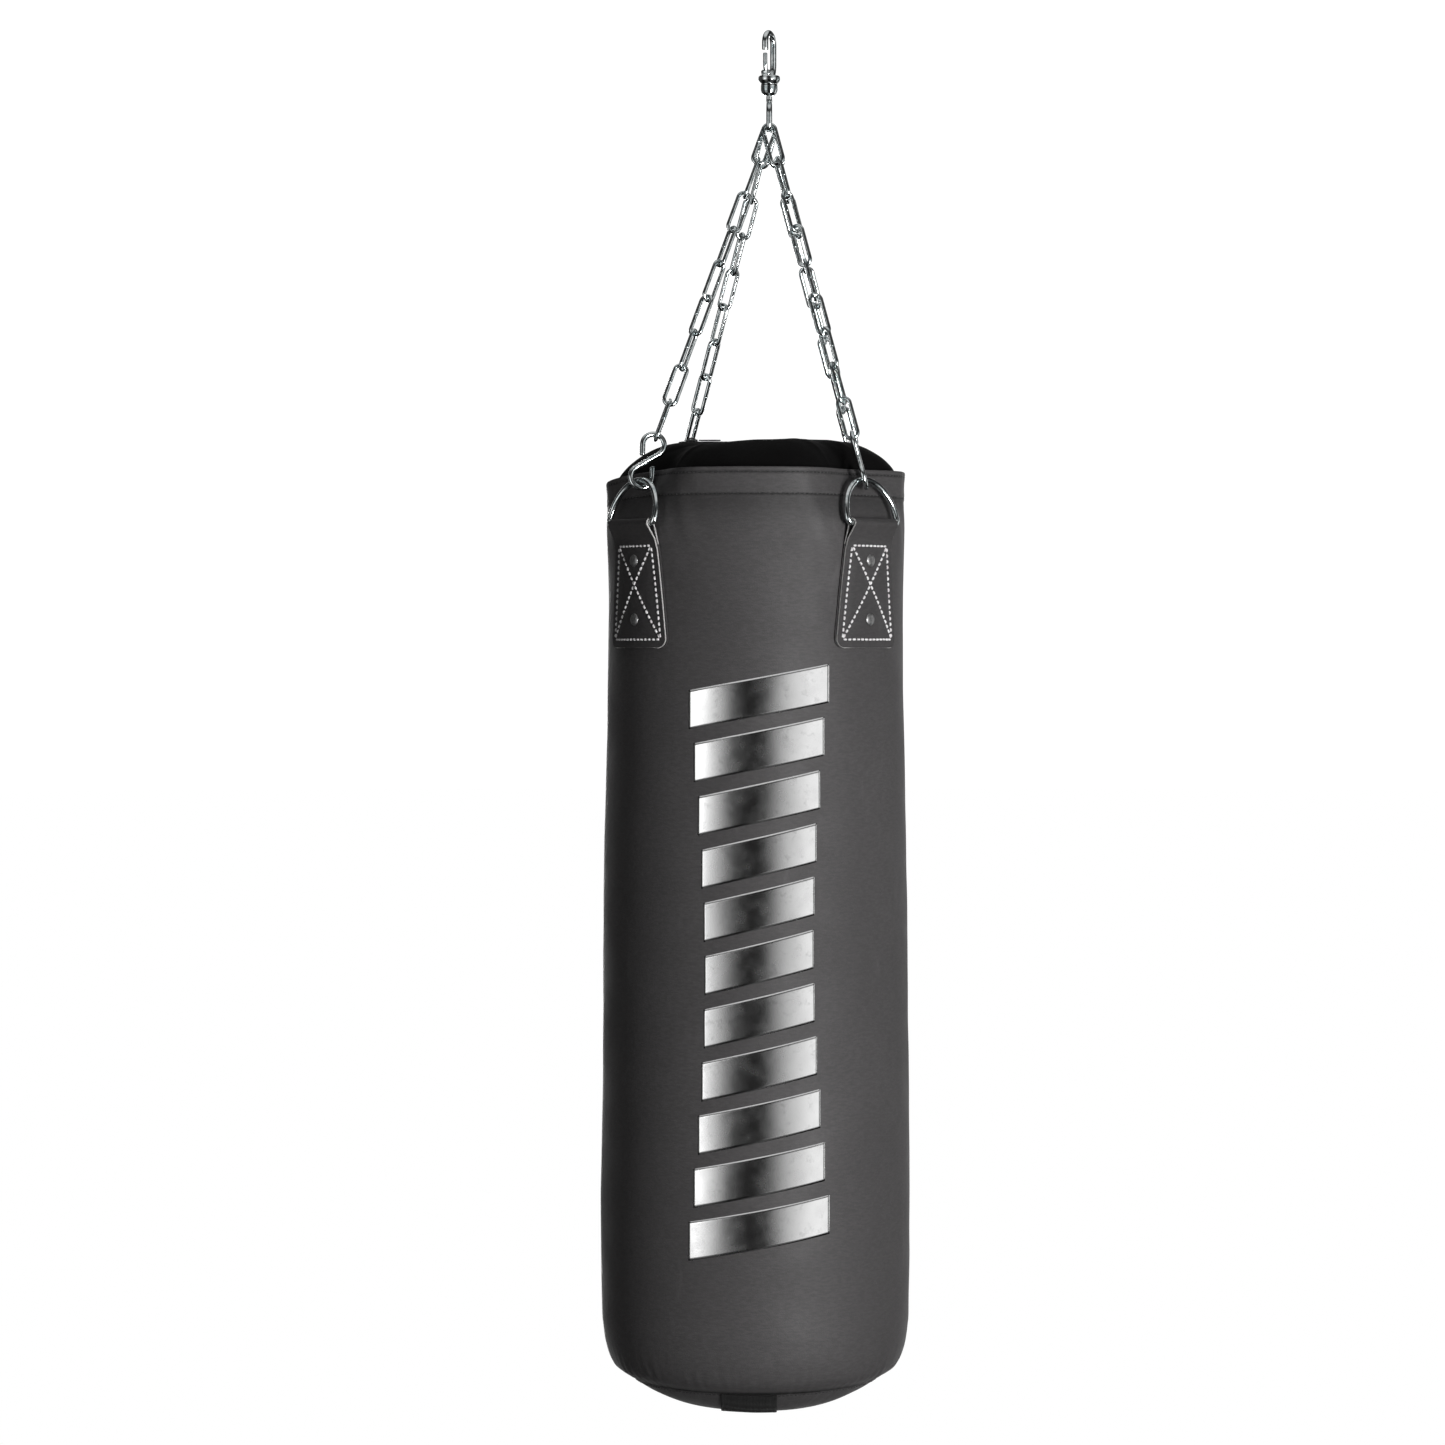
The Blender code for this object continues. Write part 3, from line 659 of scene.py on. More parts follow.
# --- the swivel snap hook ---
def snap_hook(steel):
    across = Vector((cos(radians(HOOK_TURN)), sin(radians(HOOK_TURN)), 0.0))
    plane = facing(across, UP)
    radius = HOOK_INNER_RADIUS + HOOK_WIRE / 2
    foot = smooth_curve([(0.0062, -0.0492), (0.0095, -0.0435), (0.0115, -0.0385), (radius, -0.033)], 6)
    top = arc((0.0, -HOOK_INNER_RADIUS), radius, 0.0, 180.0, 40)
    nose = [(-radius + 0.0002, -0.014), (-radius + 0.0005, -0.0178)]
    path, girth = blunt_ends(foot + top + nose, HOOK_WIRE / 2, 0.0022)
    hook_bar = bar("hook_bar", path, girth, steel, 28, matrix=plane)
    profile = [
        (0.0, COLLAR_TOP), (0.0115, COLLAR_TOP), (COLLAR_RADIUS, -0.0475), (COLLAR_RADIUS, -0.0515),
        (0.011, -0.0545), (0.0095, -0.0556), (0.01, -0.0575), (0.01, -0.063), (0.0085, -0.067),
        (0.0055, -0.0696), (0.0039, -0.0696), (0.0039, -0.061), (0.0072, -0.061), (0.0072, -0.0525),
        (0.0, -0.0525),
    ]
    collar = turned("hook_collar", filleted(profile, 0.0009, 4), steel, 72)
    pivot = across * GATE_PIVOT[0] + UP * GATE_PIVOT[1]
    boss_place, slot_place = facing(across, UP, pivot - UP * 0.001), facing(across, UP, pivot + UP * 0.0006)
    boss = block("hook_boss", (0.0074, 0.0074, 0.0108), boss_place, steel, 0.003, 6)
    slot = block("gate_slot", (0.014, 0.0068, 0.0062), slot_place, steel, 0.0003, 1)
    body = fused("hook_body_forged", [hook_bar, collar, boss], steel, 0.00032, 5, [slot])
    settled_on(body, "hook", "plated_steel", "hook_body")

    half = PIN_LENGTH / 2
    head = [(0.0, half + 0.0004), (0.0012, half + 0.00035), (0.0019, half), (0.002, half - 0.0004),
            (PIN_RADIUS, half - 0.0004)]
    ends = head + [(r, -z) for r, z in reversed(head)]
    pin = turned("gate_rivet", ends, steel, 32, facing(across, UP, pivot), 40)
    settled_on(pin, "hook", "plated_steel", "gate_pin")

    gate_path = [(-0.0096, -0.041), (-0.0112, -0.0375), (-0.012, -0.032), (-0.0121, GATE_TIP_Z)]
    path, girth = blunt_ends(smooth_curve(gate_path, 8), GATE_WIRE / 2, 0.0009)
    gate_bar = bar("gate_bar", path, girth, steel, 24, matrix=plane)
    drum = filleted([(0.0, 0.0025), (0.0026, 0.0025), (0.0026, -0.0025), (0.0, -0.0025)], 0.0004, 3)
    eye = turned("gate_foot", drum, steel, 40, facing(across, UP, pivot))
    gate = fused("hook_gate_formed", [gate_bar, eye], steel, 0.00022, 4)
    settled_on(gate, "gate", "plated_steel", "hook_gate")


def swivel(steel):
    """The swivel's button head and shank with the forged eye, flat along its bottom."""
    head = [
        (0.0, -0.053), (0.0067, -0.053), (0.0067, -0.0606), (0.0035, -0.0606), (0.0035, -0.074),
        (0.0041, -0.077), (0.0, -0.079),
    ]
    shank = turned("swivel_shank", filleted(head, 0.0005, 3), steel, 48)
    drop = 0.015
    right = [(EYE_HALF_WIDTH * sin(t), EYE_TOP - drop * (1 - cos(t))) for t in np.linspace(0, pi / 2, 20)]
    right += arc((EYE_HALF_WIDTH - EYE_CORNER, EYE_BAR_Z + EYE_CORNER), EYE_CORNER, 0, -90, 12)
    loop = right + [(-a, b) for a, b in reversed(right[1:])]
    plane = facing(Vector((0, 1, 0)), UP)
    ring = bar("eye_ring", even(loop + loop[:1], 0.0012)[:-1], EYE_WIRE / 2, steel, 28, True, plane)
    eye = fused("swivel_eye_forged", [shank, ring], steel, 0.00032, 5)
    settled_on(eye, "swivel", "plated_steel", "swivel_eye")


# --- chains ---
def link_shape():
    """Path and radii of a link, with its butt joint pinched in and slightly upset on one leg."""
    radius = (LINK_OUTER_WIDTH - LINK_WIRE) / 2
    reach = (LINK_INNER_LENGTH + LINK_WIRE) / 2 - radius
    path = [(radius, y * 0.001) for y in (-2.2, -1.2, -0.5, -0.22, 0.0, 0.22, 0.5, 1.2, 2.2)]
    path += [(radius, reach * 0.33), (radius, reach * 0.66)] + arc((0, reach), radius, 0, 180, 17)
    path += [(-radius, reach * 0.5), (-radius, 0.0), (-radius, -reach * 0.5)]
    path += arc((0, -reach), radius, 180, 360, 17) + [(radius, -reach * 0.66), (radius, -reach * 0.33)]
    girth = []
    for x, y in path:
        swell = 0.055 * bell(abs(y) - 0.0008, 0.0007) - 0.17 * bell(y, 0.00022)
        near_joint = x > 0.9 * radius and abs(y) < 0.003
        girth.append(LINK_WIRE / 2 * (1 + (swell if near_joint else 0.0)))
    return path, girth


def s_hook_path():
    lean = 90.0 - acos(S_LOOP_RADIUS / S_HALF_SPACING) * 180.0 / pi
    top = arc((0, S_HALF_SPACING), S_LOOP_RADIUS, S_END_ANGLE, -lean, 40)
    end = radians(S_END_ANGLE)
    top.insert(0, (top[0][0] - S_TAIL * sin(end), top[0][1] + S_TAIL * cos(end)))
    return top + [(-a, -b) for a, b in reversed(top)]


def ring_path():
    """The D-ring: a half ellipse over a straight bar, its feet rounded."""
    rise = RING_HEIGHT - RING_FOOT_RADIUS
    feet = arc((RING_HALF_BAR - RING_FOOT_RADIUS, RING_FOOT_RADIUS), RING_FOOT_RADIUS, -90, 0, 14)
    arch = [(RING_HALF_BAR * cos(t), RING_FOOT_RADIUS + rise * sin(t)) for t in np.linspace(0, pi / 2, 30)[1:]]
    right = feet + arch
    return right + [(-a, b) for a, b in reversed(right[:-1])]


def ring_up(angle):
    lean = radians(RING_LEAN)
    return UP * cos(lean) - outwards(angle) * sin(lean)


def round_bag(angle, radius, z):
    """A point round the bag's axis."""
    return Vector((BAG_X, 0, z)) + outwards(angle) * radius


def ring_bar(angle):
    return round_bag(angle, RING_BAR_RADIUS, RING_BAR_Z)


def square_to(direction, vector):
    return (vector - direction * vector.dot(direction)).normalized()


def turned_about(direction, vector, degrees):
    return Matrix.Rotation(radians(degrees), 3, direction) @ vector


def link_rolls(down, hook_normal, plain_steps):
    """Each link's roll from the first, across the eye's bar, to the last, square to the S-hook."""
    steps = LINKS_PER_CHAIN - 1
    start = square_to(down, Vector((0, 1, 0)))
    target = turned_about(down, hook_normal, 90.0)
    needed = atan2(start.cross(target).dot(down), start.dot(target)) * 180.0 / pi
    total = needed + 360.0 * CHAIN_TURNS
    late = (total - 90.0 * plain_steps) / (steps - plain_steps)
    rolls = [90.0 * min(k, plain_steps) + late * max(0, k - plain_steps) for k in range(LINKS_PER_CHAIN)]
    return start, rolls


def chain(name, settings, shapes):
    angle, place_on_bar, hook_turn, plain_steps = settings
    crown = ring_bar(angle) + ring_up(angle) * RING_HEIGHT
    top = Vector((0, place_on_bar * BAR_PITCH, EYE_BAR_Z))
    span = (crown - top).length
    down = (crown - top).normalized()
    up = -down
    half_link = (LINK_INNER_LENGTH + LINK_WIRE) / 2
    s_top = S_HALF_SPACING + S_LOOP_RADIUS - S_WIRE / 2
    ring_to_hook = s_top - RING_WIRE / 2 - RING_PLAY
    hook_to_link = s_top - LINK_WIRE / 2 - GAP
    above_bar = (EYE_WIRE + LINK_WIRE) / 2 + 2 * GAP
    last = span - ring_to_hook - hook_to_link
    spacing = (last - 2 * half_link + above_bar) / (LINKS_PER_CHAIN - 1)
    side = along(angle)
    hook_normal = turned_about(up, square_to(up, side), hook_turn)

    def hang(shape, label, place, node):
        piece = placed(f"{name}_{label}", shapes[shape].data, place)
        settled_on(piece, "bag", "plated_steel", f"{name}_{node}")

    start, rolls = link_rolls(down, hook_normal, plain_steps)
    for k in range(LINKS_PER_CHAIN):
        centre = top + down * (half_link - above_bar + spacing * k)
        normal = turned_about(down, start, rolls[k] + 180.0 * RANDOM.choice((0, 1)))
        place = facing(down.cross(normal), down, centre)
        hang("link", f"chain_link_{k + 1}", place, f"link_{k + 1}")
    place = facing(up.cross(hook_normal), up, crown + up * ring_to_hook)
    hang("s_hook", "open_hook", place, "s_hook")
    place = facing(side, ring_up(angle), ring_bar(angle))
    hang("ring", "dee", place, "d_ring")


def chains(steel):
    path, girth = link_shape()
    s_path, s_girth = blunt_ends(s_hook_path(), S_WIRE / 2, 0.0012)
    ring = even(ring_path() + ring_path()[:1], 0.0024)[:-1]
    shapes = {
        "link": bar("link_shape", path, girth, steel, 16, True),
        "s_hook": bar("s_hook_shape", s_path, s_girth, steel, 20),
        "ring": bar("ring_shape", ring, RING_WIRE / 2, steel, 22, True),
    }
    for name, settings in CHAINS.items():
        chain(name, settings, shapes)
    for shape in shapes.values():
        bpy.data.objects.remove(shape, do_unlink=True)


# --- hanger straps ---
def strap_half_width(z):
    share = share_of(RING_BAR_Z - z, RING_BAR_Z - STRAP_BOTTOM_Z)
    half = STRAP_TOP_HALF + (STRAP_BOTTOM_HALF - STRAP_TOP_HALF) * share
    rise = z - STRAP_BOTTOM_Z
    if rise < STRAP_CORNER:
        half -= STRAP_CORNER - sqrt(max(0.0, STRAP_CORNER ** 2 - (STRAP_CORNER - rise) ** 2))
    return half


def strap_path():
    """Radius and height along the folded strap, and 1 on its outer layer."""
    fold = (RING_WIRE + STRAP_THICKNESS) / 2 + 0.0005
    step = STRAP_THICKNESS + STRAP_LAYER_GAP
    rises = [STRAP_CORNER * (1 - cos(t)) for t in np.linspace(0, pi / 2, 9)]
    rises += list(np.linspace(STRAP_CORNER, 0.124, 56)[1:])
    heights = [STRAP_BOTTOM_Z + rise for rise in rises]
    inner = [(cover_radius(z) + STRAP_GAP + STRAP_THICKNESS / 2, z, 0.0) for z in heights]
    loop = [(r, z, 0.0) for r, z in arc((RING_BAR_RADIUS, RING_BAR_Z), fold, 180, -22, 22)]
    return inner + loop + [(r + step, z, 1.0) for r, z, _ in reversed(inner)]


def on_strap(angle, offset, radius, z):
    """A point of the strap: flat at the ring's bar, wrapped round the bag below it."""
    middle, side = outwards(angle), along(angle)
    wrap = share_of(RING_BAR_Z - 0.006 - z, 0.024)
    turn = offset / radius
    curved = middle * (radius * cos(turn)) + side * (radius * sin(turn))
    flat = middle * radius + side * offset
    return flat.lerp(curved, wrap) + Vector((BAG_X, 0, z))


def stitch_segments():
    """The strap's stitches: a tapered frame and its two diagonals."""
    top, low = STITCH_TOP_HALF, STITCH_BOTTOM_HALF
    a, b = (-top, STITCH_TOP_Z), (top, STITCH_TOP_Z)
    c, d = (low, STITCH_BOTTOM_Z), (-low, STITCH_BOTTOM_Z)
    return [(a, b), (b, c), (c, d), (d, a), (a, c), (b, d)]


def seam_distance(offset, z):
    """How far a point of the strap is from its nearest line of stitches."""
    best = 1.0
    for (x0, z0), (x1, z1) in stitch_segments():
        dx, dz = x1 - x0, z1 - z0
        t = share_of((offset - x0) * dx + (z - z0) * dz, dx * dx + dz * dz)
        best = min(best, hypot(offset - x0 - t * dx, z - z0 - t * dz))
    return best


def strap_relief(offset, z):
    """Quilting between the stitches, and the furrow that the thread pulls in."""
    near = seam_distance(offset, z)
    rivet = min(hypot(offset, z - h) for h in RIVET_HEIGHTS)
    puff = 0.00055 * (1 - bell(near, 0.006)) * (1 - bell(rivet, 0.009))
    return puff - 0.00045 * bell(near, 0.001)


def strap(name, angle, leather, edge, white, steel):
    path = strap_path()
    cols = 47
    verts = []
    for radius, z, outer in path:
        for share in np.linspace(-1.0, 1.0, cols):
            offset = share * strap_half_width(z)
            lift = outer * (strap_relief(offset, z) + 0.0006 * abs(share) ** 6)
            verts.append(on_strap(angle, offset, radius + lift, z))
    ob = mesh_piece(f"{name}_strap_leather", verts, grid_faces(len(path), cols), leather)
    ob.data.materials.append(edge)
    modified(ob, "SOLIDIFY", thickness=STRAP_THICKNESS, offset=0.0, material_offset_rim=1)
    rounded_edges(ob, 0.0008, 1)
    between = STRAP_GAP + STRAP_THICKNESS + STRAP_LAYER_GAP / 2
    for face in ob.data.polygons:
        spot = face.center - Vector((BAG_X, 0, 0))
        inner = hypot(spot.x, spot.y) < cover_radius(spot.z) + between
        if face.material_index == 1 and inner and spot.z < RING_BAR_Z - 0.01:
            face.material_index = 0
    ob.data.shade_smooth()
    settled_on(ob, "bag", "black_leatherette", f"{name}_strap")

    face = STRAP_GAP + 2 * STRAP_THICKNESS + STRAP_LAYER_GAP
    runs = []
    for (x0, z0), (x1, z1) in stitch_segments():
        run = []
        for t in np.linspace(0.012, 0.988, 40):
            offset, z = x0 + (x1 - x0) * t, z0 + (z1 - z0) * t
            radius = cover_radius(z) + face + strap_relief(offset, z)
            run.append((on_strap(angle, offset, radius, z), outwards(angle + offset / radius * 180.0 / pi)))
        runs.append(run)
    dashes = stitched(f"{name}_strap_stitches", runs, white, 0.0066, 0.0048, 0.0025, 0.0008)
    settled_on(dashes, "bag", "black_leatherette")

    dome = [(RIVET_RADIUS * sin(t), 0.0002 + 0.0019 * cos(t)) for t in np.linspace(0.0, pi / 2, 12)]
    cap = dome + [(RIVET_RADIUS, -0.0004), (0.003, -0.0004), (0.003, -0.0044), (0.0, -0.0044)]
    for label, z in zip(("upper", "lower"), RIVET_HEIGHTS):
        centre = round_bag(angle, cover_radius(z) + face, z)
        place = facing(along(angle), UP, centre)
        rivet = turned(f"{name}_rivet_{label}", cap, steel, 40, place, 50)
        settled_on(rivet, "bag", "plated_steel")


# --- the bag ---
def near_strap(angle, z):
    """1 under a hanger strap, fading to 0 round it."""
    across = min(abs(off_angle(angle, chain_angle)) for chain_angle in CHAIN_ANGLES)
    return share_of(z + 0.735, 0.015) * share_of(23.0 - across, 5.0)


def cover_relief(angle, z):
    """The cover's softness, hem, seams and puckers, outwards from its profile."""
    a = radians(angle)
    spot = Vector((sin(a) * 0.175, -cos(a) * 0.175, z))
    soft = 0.0011 * noise.noise(spot * 7.0) + 0.0005 * noise.noise(spot * 19.0 + Vector((3.1, 0, 0)))
    hem = 0.0008 * rising(z - HEM_STITCH_Z + 0.003, 0.0012)
    furrows = 0.0011 * (bell(z - HEM_STITCH_Z, 0.001) + 0.8 * bell(z - HEM_TOP_STITCH_Z, 0.001))
    pucker = noise.noise(Vector((angle * 0.9, z * 90.0, 5.0)))
    pucker *= 0.00055 * (bell(z - HEM_STITCH_Z, 0.009) + bell(z - HEM_TOP_STITCH_Z, 0.005))
    foot = 0.0011 * noise.noise(Vector((angle * 0.42, z * 22.0, 9.0))) * bell(z - COVER_PROFILE[-1][1], 0.03)
    pulls = 0.0
    for chain_angle in CHAIN_ANGLES:
        off = off_angle(angle, chain_angle)
        pulls += 0.0009 * bell(abs(off) - 24.0, 9.0) * bell(z + 0.56, 0.04) * sin(off * 0.42 + z * 70.0)
    calm = 1.0 - 0.85 * near_strap(angle, z)
    seam = radians(off_angle(angle, BACK_SEAM_ANGLE)) * 0.175
    lap = 0.0009 * rising(seam - 0.009, 0.0012) * rising(0.026 - seam, 0.024)
    back = lap - 0.0005 * sum(bell(seam - offset, 0.0009) for offset in BACK_STITCHES)
    return (soft + pulls + pucker + foot) * calm + hem - furrows + back


def shell_piece(name, outside, inside, cols, place, finish, painted_shade=None):
    """A closed shell: a profile down the outside and back up the inside, swept round the bag.

    The last argument gives the share of painted shade, 0 to 1, that darkens the outside at a height of the
    profile.
    """
    loop = [(r, z, True) for r, z in outside] + [(r, z, False) for r, z in reversed(inside)]
    angles = (np.arange(cols) * 360.0 / cols).tolist()
    verts = [place(angle, radius, z, outer) for radius, z, outer in loop for angle in angles]
    ob = mesh_piece(name, verts, grid_faces(len(loop), cols, True, True), finish)
    if painted_shade:
        shares = [painted_shade(z) if outer else 0.0 for _, z, outer in loop for _ in angles]
        ob.data.attributes.new("painted_shade", "FLOAT", "POINT").data.foreach_set("value", shares)
    return settle(ob, 1e-7)


def sewn(name, runs, black, pitch, length, thick, proud):
    """Black stitches that ride on the bag."""
    settled_on(stitched(name, runs, black, pitch, length, thick, proud), "bag", "black_leatherette")


def place_cover(angle, radius, z, outer=True):
    reach = radius - dent(angle, radius, z)
    if outer:
        reach += cover_relief(angle, z)
    sunk = z - droop(angle, radius) * share_of(z + 0.62, 0.105) ** 2
    return round_bag(angle, reach, sunk)


def cover_painted_shade(z):
    """Painted shade along the hem's stitches and the foot seam, and a painted shadow below the hem."""
    lines = 0.92 * bell(z - HEM_STITCH_Z + 0.0008, 0.0013) + 0.8 * bell(z - HEM_TOP_STITCH_Z, 0.0012)
    below = 0.36 * bell(z - HEM_STITCH_Z, 0.024) if z < HEM_STITCH_Z else 0.0
    return min(0.95, max(lines, below, 0.97 * bell(z - COVER_PROFILE[-1][1] + 0.0004, 0.0016)))


def outer_cover(leather, black):
    wall = COVER_THICKNESS
    outside = even(COVER_CURVE, 0.0042)
    rim = arc((outside[0][0] - wall / 2, outside[0][1] - 0.0006), wall / 2, 180, 8, 9)
    fine = even([p for p in COVER_CURVE if p[1] > -0.56], 0.0014)
    rest = [p for p in outside if p[1] < fine[-1][1] - 0.003]
    end_r, end_z = COVER_PROFILE[-1]
    foot = [(end_r - 0.0007, end_z - 0.0003), (end_r - 0.0012, end_z + 0.0002), (end_r - 0.0015, end_z + 0.0012)]
    inner = [(r - wall, z - (0.003 if k == 0 else 0.0)) for k, (r, z) in enumerate(outside[::4])]
    inner.append((end_r - 0.0022, end_z + 0.0034))
    outer = rim + [*fine[1:], *rest] + foot
    cover = shell_piece("cover_skin", outer, inner, 400, place_cover, leather, cover_painted_shade)
    settled_on(cover, "bag", "black_leatherette", "outer_cover")

    for label, z in (("top", HEM_TOP_STITCH_Z), ("lower", HEM_STITCH_Z)):
        run = [(place_cover(angle, cover_radius(z), z), outwards(angle)) for angle in ROUND]
        sewn(f"hem_stitches_{label}", [run], black, 0.0058, 0.0042, 0.0015, 0.0003)
    runs = []
    for offset in BACK_STITCHES:
        angle = BACK_SEAM_ANGLE + offset / 0.175 * 180.0 / pi
        heights = np.linspace(HEM_STITCH_Z - 0.004, end_z + 0.008, 400)
        runs.append([(place_cover(angle, cover_radius(z), z), outwards(angle)) for z in heights])
    sewn("back_seam_stitches", runs, black, 0.005, 0.0037, 0.001, 0.0002)


def droop(angle, radius):
    """How far the rim and the lid sink at the bag's left side, where the load has pulled them down."""
    return RIM_DROOP * bell(off_angle(angle, -92.0), 26.0) * share_of(radius - 0.085, 0.075)


def lid_sink(spot):
    """The front half of the lid's top sinks towards the left."""
    return LID_TILT * max(0.0, 0.05 - spot.x) * share_of(-0.015 - spot.y, 0.04)


def lid_height(angle, radius, z):
    """Folds of the lid between the flat top and the four pressed-in places."""
    lift = 0.0
    reach = bell(radius - 0.14, 0.03)
    for chain_angle in CHAIN_ANGLES:
        across = radians(off_angle(angle, chain_angle)) * radius
        lift += 0.002 * reach * (bell(across - 0.03, 0.005) + 0.8 * bell(across + 0.034, 0.006))
        lift -= 0.0014 * reach * bell(across, 0.014)
    a = radians(angle)
    spot = Vector((sin(a) * radius, -cos(a) * radius, 0.3))
    lift += 0.0016 * noise.noise(spot * 16.0) * min(1.0, radius / 0.1)
    lift += 0.0006 * noise.noise(spot * 48.0)
    flat = bell(max(0.0, hypot(spot.x, (spot.y - ZIP_Y) * 2.2) - 0.085), 0.012)
    return lift * (1 - flat) * (1 if z > -0.515 else 0)


def place_lid(angle, radius, z, outer):
    reach = radius - dent(angle, radius, z)
    height = z - droop(angle, radius) - lid_sink(outwards(angle) * radius)
    if outer:
        height += lid_height(angle, radius, z)
    return round_bag(angle, reach, height)


def top_lid(finish):
    outside = [(max(r, 1e-5), z) for r, z in even(smooth_curve(LID_PROFILE, 12), 0.003)]
    inside = [(max(r - 0.0022, 1e-5), z - 0.0022) for r, z in outside[::3]]
    lid = shell_piece("lid_skin", outside, inside, 300, place_lid, finish)
    settled_on(lid, "bag", "black_leatherette", "top_lid")


def panel_height(radius):
    return PANEL_EDGE_Z - PANEL_SAG * (1 - (radius / PANEL_RADIUS) ** PANEL_FULLNESS)


def place_panel(angle, radius, z, outer=True):
    drop = 0.0
    if outer:
        spot = outwards(angle) * radius
        drop = 0.0012 * noise.noise(Vector((spot.x, spot.y, 0.7)) * 22.0)
        drop += 0.0009 * noise.noise(Vector((angle * 0.42, 4.0, 9.0))) * bell(radius - PANEL_RADIUS, 0.022)
    return round_bag(angle, radius, z + drop)


# painted shade along the seam round the base panel's edge
def panel_painted_shade(z):
    return 0.97 * rising(z - PANEL_EDGE_Z + 0.0016, 0.0012)


def bottom_panel(leather, black):
    radii = np.linspace(PANEL_RADIUS - 0.0012, 1e-5, 60)
    edge = [(PANEL_RADIUS - 0.0004, PANEL_EDGE_Z + 0.003), (PANEL_RADIUS - 0.0001, PANEL_EDGE_Z + 0.0012),
            (PANEL_RADIUS - 0.0003, PANEL_EDGE_Z - 0.0002)]
    outside = edge + [(r, panel_height(r)) for r in radii]
    inside = [(max(r - 0.0022, 1e-5), panel_height(r) + 0.0024) for r in radii[::4]]
    panel = shell_piece("base_skin", outside, inside, 300, place_panel, leather, panel_painted_shade)
    settled_on(panel, "bag", "black_leatherette", "bottom_panel")
    radius = PANEL_RADIUS - 0.0045
    run = []
    for angle in ROUND:
        spot = place_panel(angle, radius, panel_height(radius))
        run.append((spot - UP * 0.0001, (outwards(angle) * 0.43 - UP * 0.9).normalized()))
    sewn("base_stitches", [run], black, 0.005, 0.0037, 0.001, 0.0002)


def bottom_strap(finish):
    """Woven strap under the base: ribbed across, with thick selvedges."""
    rows, cols = 420, 41
    verts = []
    for row in np.linspace(-1.0, 1.0, rows):
        for share in np.linspace(-1.0, 1.0, cols):
            aside = BOTTOM_STRAP_X - BAG_X + share * BOTTOM_STRAP_WIDTH / 2
            y = row * sqrt((PANEL_RADIUS - 0.001) ** 2 - aside ** 2)
            radius = hypot(aside, y)
            rib = 0.00018 * sin(y * 2 * pi / 0.0028) * (1 - abs(share) ** 8)
            selvedge = 0.0003 * bell(abs(share) - 0.93, 0.04)
            spot = place_panel(atan2(aside, -y) * 180.0 / pi, radius, panel_height(radius))
            verts.append((BAG_X + aside, y, spot.z - BOTTOM_STRAP_LIFT - rib - selvedge))
    ob = mesh_piece("base_webbing", verts, grid_faces(rows, cols), finish)
    modified(ob, "SOLIDIFY", thickness=0.0011, offset=0.0)
    rounded_edges(ob, 0.0007)
    settled_on(ob, "bag", "black_webbing", "bottom_strap")


def filling(finish):
    """Packed textile cuttings, lumpy all over, inside the cover."""
    ob = placed("packed_cuttings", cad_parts["filling"].data.copy())
    modified(ob, "REMESH", mode="VOXEL", voxel_size=0.009)
    low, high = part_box("filling")
    centre = (low + high) / 2
    for v in ob.data.vertices:
        inwards = Vector((centre.x - v.co.x, centre.y - v.co.y, 0.0))
        if inwards.length > 1e-6:
            v.co += inwards.normalized() * (0.003 + 0.0028 * noise.noise(v.co * 28.0))
    recoat(ob, finish)
    settled_on(ob, "bag", "textile_filling", "filling")


# --- the zip ---
def zip_closure(cloth, metal_finish, black):
    base = LID_FLAT_Z + ZIP_RISE
    half = ZIP_WIDTH / 2
    rows, cols = 90, 15
    verts, faces = [], []
    for side in (-1, 1):
        faces += list(grid_faces(rows, cols, start=len(verts)))
        for x in np.linspace(-0.5, 0.5, rows) * ZIP_LENGTH:
            for share in np.linspace(0.0, 1.0, cols):
                y = side * (0.0012 + share * (half - 0.0012))
                cord = 0.0005 * bell(share - 0.1, 0.07) + 0.00012 * bell(share - 0.45, 0.05)
                ripple = 0.00012 * sin(x * 2 * pi / 0.013 + side)
                verts.append((BAG_X + x, ZIP_Y + y, base + 0.0004 + cord + ripple * share))
    tape = mesh_piece("zip_cloth", verts, faces, cloth)
    modified(tape, "SOLIDIFY", thickness=0.0006, offset=0.0)
    settled_on(tape, "bag", "zip_tape", "zip_tape")

    runs = []
    for offset in (-half + 0.003, half - 0.003):
        places = np.linspace(-0.49, 0.49, 60) * ZIP_LENGTH
        runs.append([(Vector((BAG_X + x, ZIP_Y + offset, base + 0.0007)), UP) for x in places])
    settled_on(stitched("zip_stitches", runs, black, 0.0046, 0.0034, 0.0009, 0.0002), "bag", "zip_tape")

    teeth = bmesh.new()
    pitch = 0.003
    count = int(ZIP_LENGTH * 0.94 / pitch)
    for k in range(count):
        for side in (-1, 1):
            tooth = bmesh.ops.create_cube(teeth, size=1.0)["verts"]
            bmesh.ops.scale(teeth, vec=(0.0017, 0.0036, 0.0013), verts=tooth)
            for v in tooth:
                if v.co.y * side < 0:
                    v.co.x *= 0.72
            shift = ((k - count / 2) * pitch + (pitch / 2 if side > 0 else 0.0), side * 0.0013, 0.0)
            bmesh.ops.translate(teeth, vec=shift, verts=tooth)
    bmesh.ops.bevel(teeth, geom=teeth.edges[:], offset=0.00022, segments=2, profile=0.5, affect="EDGES")
    place = Matrix.Translation((BAG_X, ZIP_Y, base + 0.0007))
    settled_on(bmesh_piece("zip_teeth", teeth, metal_finish, place), "bag", "zip_metal")


def mirrored(outline):
    """The half outline at +y, closed with its mirror image at -y."""
    return [(x, -y) for x, y in reversed(outline)] + list(outline)


